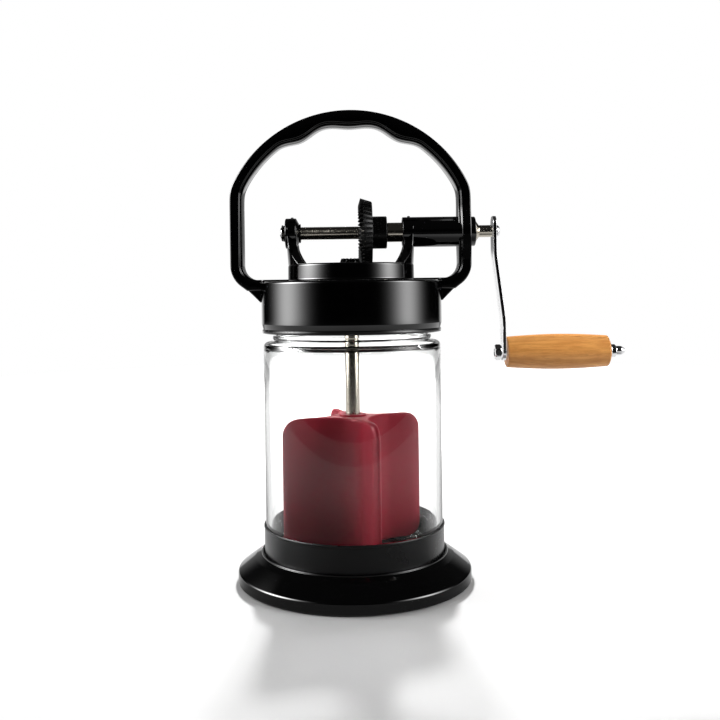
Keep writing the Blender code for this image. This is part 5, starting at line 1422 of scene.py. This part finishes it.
class CHURN_OT_crank(bpy.types.Operator):
    """Bent crank arm with its domed screw, and the grip's stud and two nuts"""

    bl_idname = "churn.crank"
    bl_label = "Crank Arm"

    def execute(self, context):
        """Bend the arm and add its fasteners. The photo's lid mirrors none of them but the screw."""
        start, end = low("arm_screw", "X"), high("arm_screw", "X")
        seat = end - SCREW_HEAD_LENGTH
        screw = disc_grid([(0, start, 0), (SCREW_SHANK, start, CRISP), (SCREW_SHANK, seat, 0),
                           (SCREW_HEAD, seat, HAIR), (SCREW_HEAD, seat + FULL, KEEN),
                           (SCREW_DOME, end - CRISP, SCREW_DOME_ROUND), (0, end, 0)],
                          *CRANK_AXIS, NUT_SEGMENTS)
        nut = hex_grid(INNER_NUT_FLATS, low("grip_nut", "X"), high("grip_nut", "X"), INNER_NUT_BORE)
        start, end, radius = low("grip_stud", "X"), high("grip_stud", "X"), high("grip_stud", "Y")
        stud = disc_grid([(0, start, 0), (radius, start, CRISP), (radius, end, CRISP), (0, end, 0)],
                         *GRIP_AXIS, NUT_SEGMENTS)
        chrome = chrome_plate(context.scene.churn)
        for name, slot, grids, node in (("bent_crank_arm", "arm_chrome", [arm_grid()], "crank_arm"),
                                        ("domed_arm_screw", "arm_chrome", [screw], "arm_screw"),
                                        ("inner_grip_nut", "arm_chrome", [nut], "grip_nut"),
                                        ("domed_end_nut", "arm_chrome", cap_nut_grids(), "grip_cap_nut"),
                                        ("plain_grip_stud", "bright_steel", [stud], "grip_stud")):
            item = piece(name, "crank", chrome, grids, [node])
            item.visible_glossy = name == "domed_arm_screw"
        return {"FINISHED"}


class CHURN_OT_grip(bpy.types.Operator):
    """Turned wooden grip"""

    bl_idname = "churn.grip"
    bl_label = "Wooden Grip"

    def execute(self, context):
        """Turn the grip."""
        wood = oiled_wood(context.scene.churn)
        grip = piece("turned_grip", "grip", wood, [grip_grid()], ["wood_grip"],
                     SOFT_SHARP_ANGLE)
        grip.visible_glossy = False
        return {"FINISHED"}


class CHURN_OT_paddle(bpy.types.Operator):
    """Steel rod and silicone paddle"""

    bl_idname = "churn.paddle"
    bl_label = "Rod and Paddle"

    def execute(self, context):
        """Turn the rod and shape the paddle."""
        settings = context.scene.churn
        steel = turned_steel(settings, "churn_rod_steel", (0.4, 0.4, 9.0), 0.0000002)
        shoulder = low("rod_washer", "Z") - GAP
        rod = disc_grid([(0, ROD_LOW, 0), (ROD_RADIUS, ROD_LOW, ROD_ROUND), (ROD_RADIUS, shoulder, CRISP),
                         (ROD_JOURNAL, shoulder, 0), (ROD_JOURNAL, ROD_HIGH, KEEN), (0, ROD_HIGH, 0)],
                        segments=SMALL_SEGMENTS)
        piece("steel_rod", "rod", steel, [rod], ["paddle_rod"])
        top = PADDLE_LOW + PADDLE_HEIGHT
        crown = high("paddle", "Z")
        collar = disc_grid([(0, top - CROWN_SINK, 0), (CROWN_RADIUS, top - CROWN_SINK, 0),
                            (CROWN_RADIUS, crown, FULL), (CROWN_MOUTH, crown, CRISP),
                            (CROWN_MOUTH, top - CROWN_MOUTH_SINK, 0), (0, top - CROWN_MOUTH_SINK, 0)],
                           segments=HEAD_SEGMENTS)
        red = clouded("churn_paddle_silicone", 38.0, colour(settings.paddle), colour(settings.paddle, 1.2),
                      (0.38, 0.46), (0.00005, 0.2), {"Specular IOR Level": 0.1})
        piece("silicone_paddle", "rod", red, [paddle_grid(), collar], ["paddle"],
              SOFT_SHARP_ANGLE)
        return {"FINISHED"}


def ray_kinds(nodes):
    """Whether a ray comes from the camera or straight through glass, and whether it is a reflection."""
    path = nodes.add("ShaderNodeLightPath").outputs
    bounced = nodes.math("ADD", path["Glossy Depth"], path["Diffuse Depth"])
    straight = nodes.product(path["Is Transmission Ray"], nodes.math("LESS_THAN", bounced, 0.5))
    shiny = nodes.product(nodes.math("GREATER_THAN", path["Glossy Depth"], 0.5),
                          nodes.math("LESS_THAN", path["Diffuse Depth"], 0.5))
    return nodes.math("MAXIMUM", path["Is Camera Ray"], straight), shiny


def studio_world(settings):
    """White room for the camera, an even light for matt surfaces, and side softboxes for gloss.

    A softbox is the cosine of the angle from its middle, seen from above, raised to a power.
    Angles are measured from the camera's side, and a height is the sine of the angle over the horizon.
    """
    world = bpy.data.worlds.new("churn_studio")
    bpy.context.scene.world = world
    world.use_nodes = True
    world.cycles.sampling_method = "NONE"
    nodes = Nodes(world.node_tree)
    direction = nodes.add("ShaderNodeTexCoord").outputs["Generated"]
    flat = nodes.vector("NORMALIZE", {0: nodes.mapped(direction, (1.0, 1.0, 0.0))})
    height, behind = nodes.parts(direction)["Z"], nodes.parts(flat)["Y"]
    strips = []
    for side, middle, sharpness, share, rise in SOFTBOXES:
        turn = math.radians(middle)
        axis = (side * math.sin(turn), -math.cos(turn), 0.0)
        near = nodes.vector("DOT_PRODUCT", {0: flat, 1: axis}, "Value")
        beam = nodes.math("POWER", nodes.math("MAXIMUM", near, 0.0), sharpness)
        strips.append(nodes.product(beam, nodes.ramp(height, *STRIP_RISE, 1.0, rise), share))
    strip = nodes.product(nodes.math("ADD", *strips), nodes.ramp(height, *STRIP_FOOT),
                          nodes.ramp(height, *STRIP_HEAD), settings.strip_level)
    back = nodes.product(nodes.ramp(behind, *BACK_SIDES),
                         nodes.ramp(height, *BACK_STEP, BACK_LOW, BACK_HIGH),
                         nodes.ramp(height, *BACK_HEAD))
    table = nodes.product(nodes.ramp(behind, *TABLE_TURN, TABLE_FRONT, TABLE_BACK),
                          nodes.ramp(height, *TABLE_EDGE))
    studio = nodes.math("ADD", strip, nodes.math("MAXIMUM", back, table))
    studio = nodes.math("ADD", studio, nodes.ramp(height, *CEILING))
    seen, shiny = ray_kinds(nodes)
    even = nodes.product(nodes.ramp(behind, *EVEN_TURN, FRONT_SHARE, BACK_SHARE), settings.light_level)
    level = nodes.between(seen, nodes.between(shiny, even, studio), 1.0)
    background = nodes.add("ShaderNodeBackground", {"Color": grey(1.0), "Strength": level})
    nodes.add("ShaderNodeOutputWorld", {"Surface": background.outputs[0]})


def floor_finish():
    """White table: it throws light on matt surfaces, and looks greyer in reflections from the front. In
    reflections the floor close in front of the churn carries painted shade, standing for the churn's shadow.
    It glows to stay white, but not in the band where the churn's shadow falls.
    """
    material, nodes, place = start_finish("churn_floor")
    seen, shiny = ray_kinds(nodes)
    cloud = nodes.ramp(nodes.noise(place, 3.0, 2.0), *FLOOR_CLOUD)
    matt = nodes.between(seen, FLOOR_BOUNCE, 1.0)
    paint = nodes.product(cloud, nodes.between(shiny, nodes.product(matt, FLOOR_PAINT), FLOOR_SHINE))
    paint = nodes.add("ShaderNodeBsdfDiffuse", {"Color": paint})
    places = nodes.parts(place)
    depth, beside = places["Y"], nodes.math("ABSOLUTE", places["X"])
    away = nodes.vector("LENGTH", {0: place}, "Value")
    # In reflections the floor close in front of the churn is painted dark as painted shade for its shadow;
    # further out and behind it is brighter
    shine = nodes.math("MAXIMUM", nodes.ramp(away, *FLOOR_NEAR_SPAN, FLOOR_NEAR_SHADE, FLOOR_FRONT),
                       nodes.ramp(depth, *FLOOR_BACK_SPAN, 0.0, FLOOR_BACK))
    shine = nodes.product(shine, nodes.ramp(depth, *FLOOR_FAR_SPAN, 1.0, FLOOR_FAR))
    lit = nodes.math("MAXIMUM", nodes.ramp(beside, *SHADOW_SIDE), nodes.ramp(depth, *SHADOW_BACK))
    glow = nodes.product(nodes.ramp(away, *FLOOR_GLOW_SPAN, 0.0, FLOOR_GLOW), lit)
    level = nodes.between(shiny, nodes.product(matt, glow), shine)
    glow = nodes.add("ShaderNodeEmission", {"Color": grey(1.0), "Strength": level})
    both = nodes.add("ShaderNodeAddShader", {0: paint.outputs[0], 1: glow.outputs[0]})
    nodes.add("ShaderNodeOutputMaterial", {"Surface": both.outputs[0]})
    return material


def area_light(name, place, target, size, power, spread):
    """Soft rectangular lamp aimed at a point, kept out of reflections. The spread is its beam's angle."""
    lamp = bpy.data.lights.new(name, "AREA")
    lamp.shape = "RECTANGLE"
    lamp.size, lamp.size_y = size
    lamp.energy = power
    lamp.spread = math.radians(spread)
    item = bpy.data.objects.new(name, lamp)
    bpy.context.scene.collection.objects.link(item)
    item.location = place
    item.rotation_euler = (Vector(target) - Vector(place)).to_track_quat("-Z", "Y").to_euler()
    item.visible_glossy = False
    item.visible_camera = False


class CHURN_OT_stage(bpy.types.Operator):
    """Floor, studio light and camera"""

    bl_idname = "churn.stage"
    bl_label = "Stage"

    def execute(self, context):
        """Lay the floor, light the churn and set the camera."""
        studio_world(context.scene.churn)
        angle = np.linspace(0, TURN, FLOOR_SEGMENTS, endpoint=False)
        radius = np.linspace(0.0, FLOOR_HALF, FLOOR_RINGS)
        ring = np.stack([radius[:, None] * np.cos(angle), FLOOR_MIDDLE + radius[:, None] * np.sin(angle),
                         np.zeros((FLOOR_RINGS, FLOOR_SEGMENTS))], -1)
        index = np.arange(FLOOR_RINGS * FLOOR_SEGMENTS).reshape(FLOOR_RINGS, FLOOR_SEGMENTS)
        beside = np.roll(index, -1, 1)
        quads = np.stack([index[:-1], index[1:], beside[1:], beside[:-1]], -1).reshape(-1, 4)
        mesh = bpy.data.meshes.new("studio_floor")
        mesh.from_pydata(ring.reshape(-1, 3).tolist(), [], quads.tolist())
        floor = bpy.data.objects.new("studio_floor", mesh)
        context.scene.collection.objects.link(floor)
        mesh.materials.append(floor_finish())
        for lamp in LAMPS:
            area_light(*lamp)
        lens = bpy.data.cameras.new("churn_camera")
        lens.lens, lens.sensor_width = LENS, SENSOR
        lens.shift_x, lens.shift_y = SHIFT_X, SHIFT_Y
        lens.clip_start = 0.01
        camera = bpy.data.objects.new("churn_camera", lens)
        context.scene.collection.objects.link(camera)
        turn = Matrix.Rotation(math.pi / 2, 3, "X") @ Matrix.Rotation(math.radians(CAMERA_ROLL), 3, "Z")
        camera.location = CAMERA_PLACE
        camera.rotation_euler = turn.to_euler()
        context.scene.camera = camera
        context.scene.view_settings.view_transform = "Standard"
        return {"FINISHED"}


class CHURN_PT_panel(bpy.types.Panel):
    """Sidebar list of the churn's pieces"""

    bl_idname = "CHURN_PT_panel"
    bl_label = "Butter Churn"
    bl_space_type = "VIEW_3D"
    bl_region_type = "UI"
    bl_category = "Churn"

    def draw(self, context):
        """Show every setting, then a button for each group of pieces."""
        for name in ChurnSettings.__annotations__:
            self.layout.prop(context.scene.churn, name)
        for operator in PIECE_OPERATORS:
            self.layout.operator(operator.bl_idname)


PIECE_OPERATORS = (CHURN_OT_stand, CHURN_OT_jar, CHURN_OT_lid, CHURN_OT_handle, CHURN_OT_gears,
                   CHURN_OT_shaft, CHURN_OT_crank, CHURN_OT_grip, CHURN_OT_paddle, CHURN_OT_stage)
CLASSES = (ChurnSettings, *PIECE_OPERATORS, CHURN_PT_panel)


def register():
    """Add the settings, operators and panel to Blender."""
    for entry in CLASSES:
        bpy.utils.register_class(entry)
    bpy.types.Scene.churn = bpy.props.PointerProperty(type=ChurnSettings)


def unregister():
    """Take them out again."""
    del bpy.types.Scene.churn
    for entry in reversed(CLASSES):
        bpy.utils.unregister_class(entry)


def main():
    """Build every piece in order."""
    register()
    bpy.ops.churn.stand()
    bpy.ops.churn.jar()
    bpy.ops.churn.lid()
    bpy.ops.churn.handle()
    bpy.ops.churn.gears()
    bpy.ops.churn.shaft()
    bpy.ops.churn.crank()
    bpy.ops.churn.grip()
    bpy.ops.churn.paddle()
    bpy.ops.churn.stage()


if __name__ == "__main__":
    main()
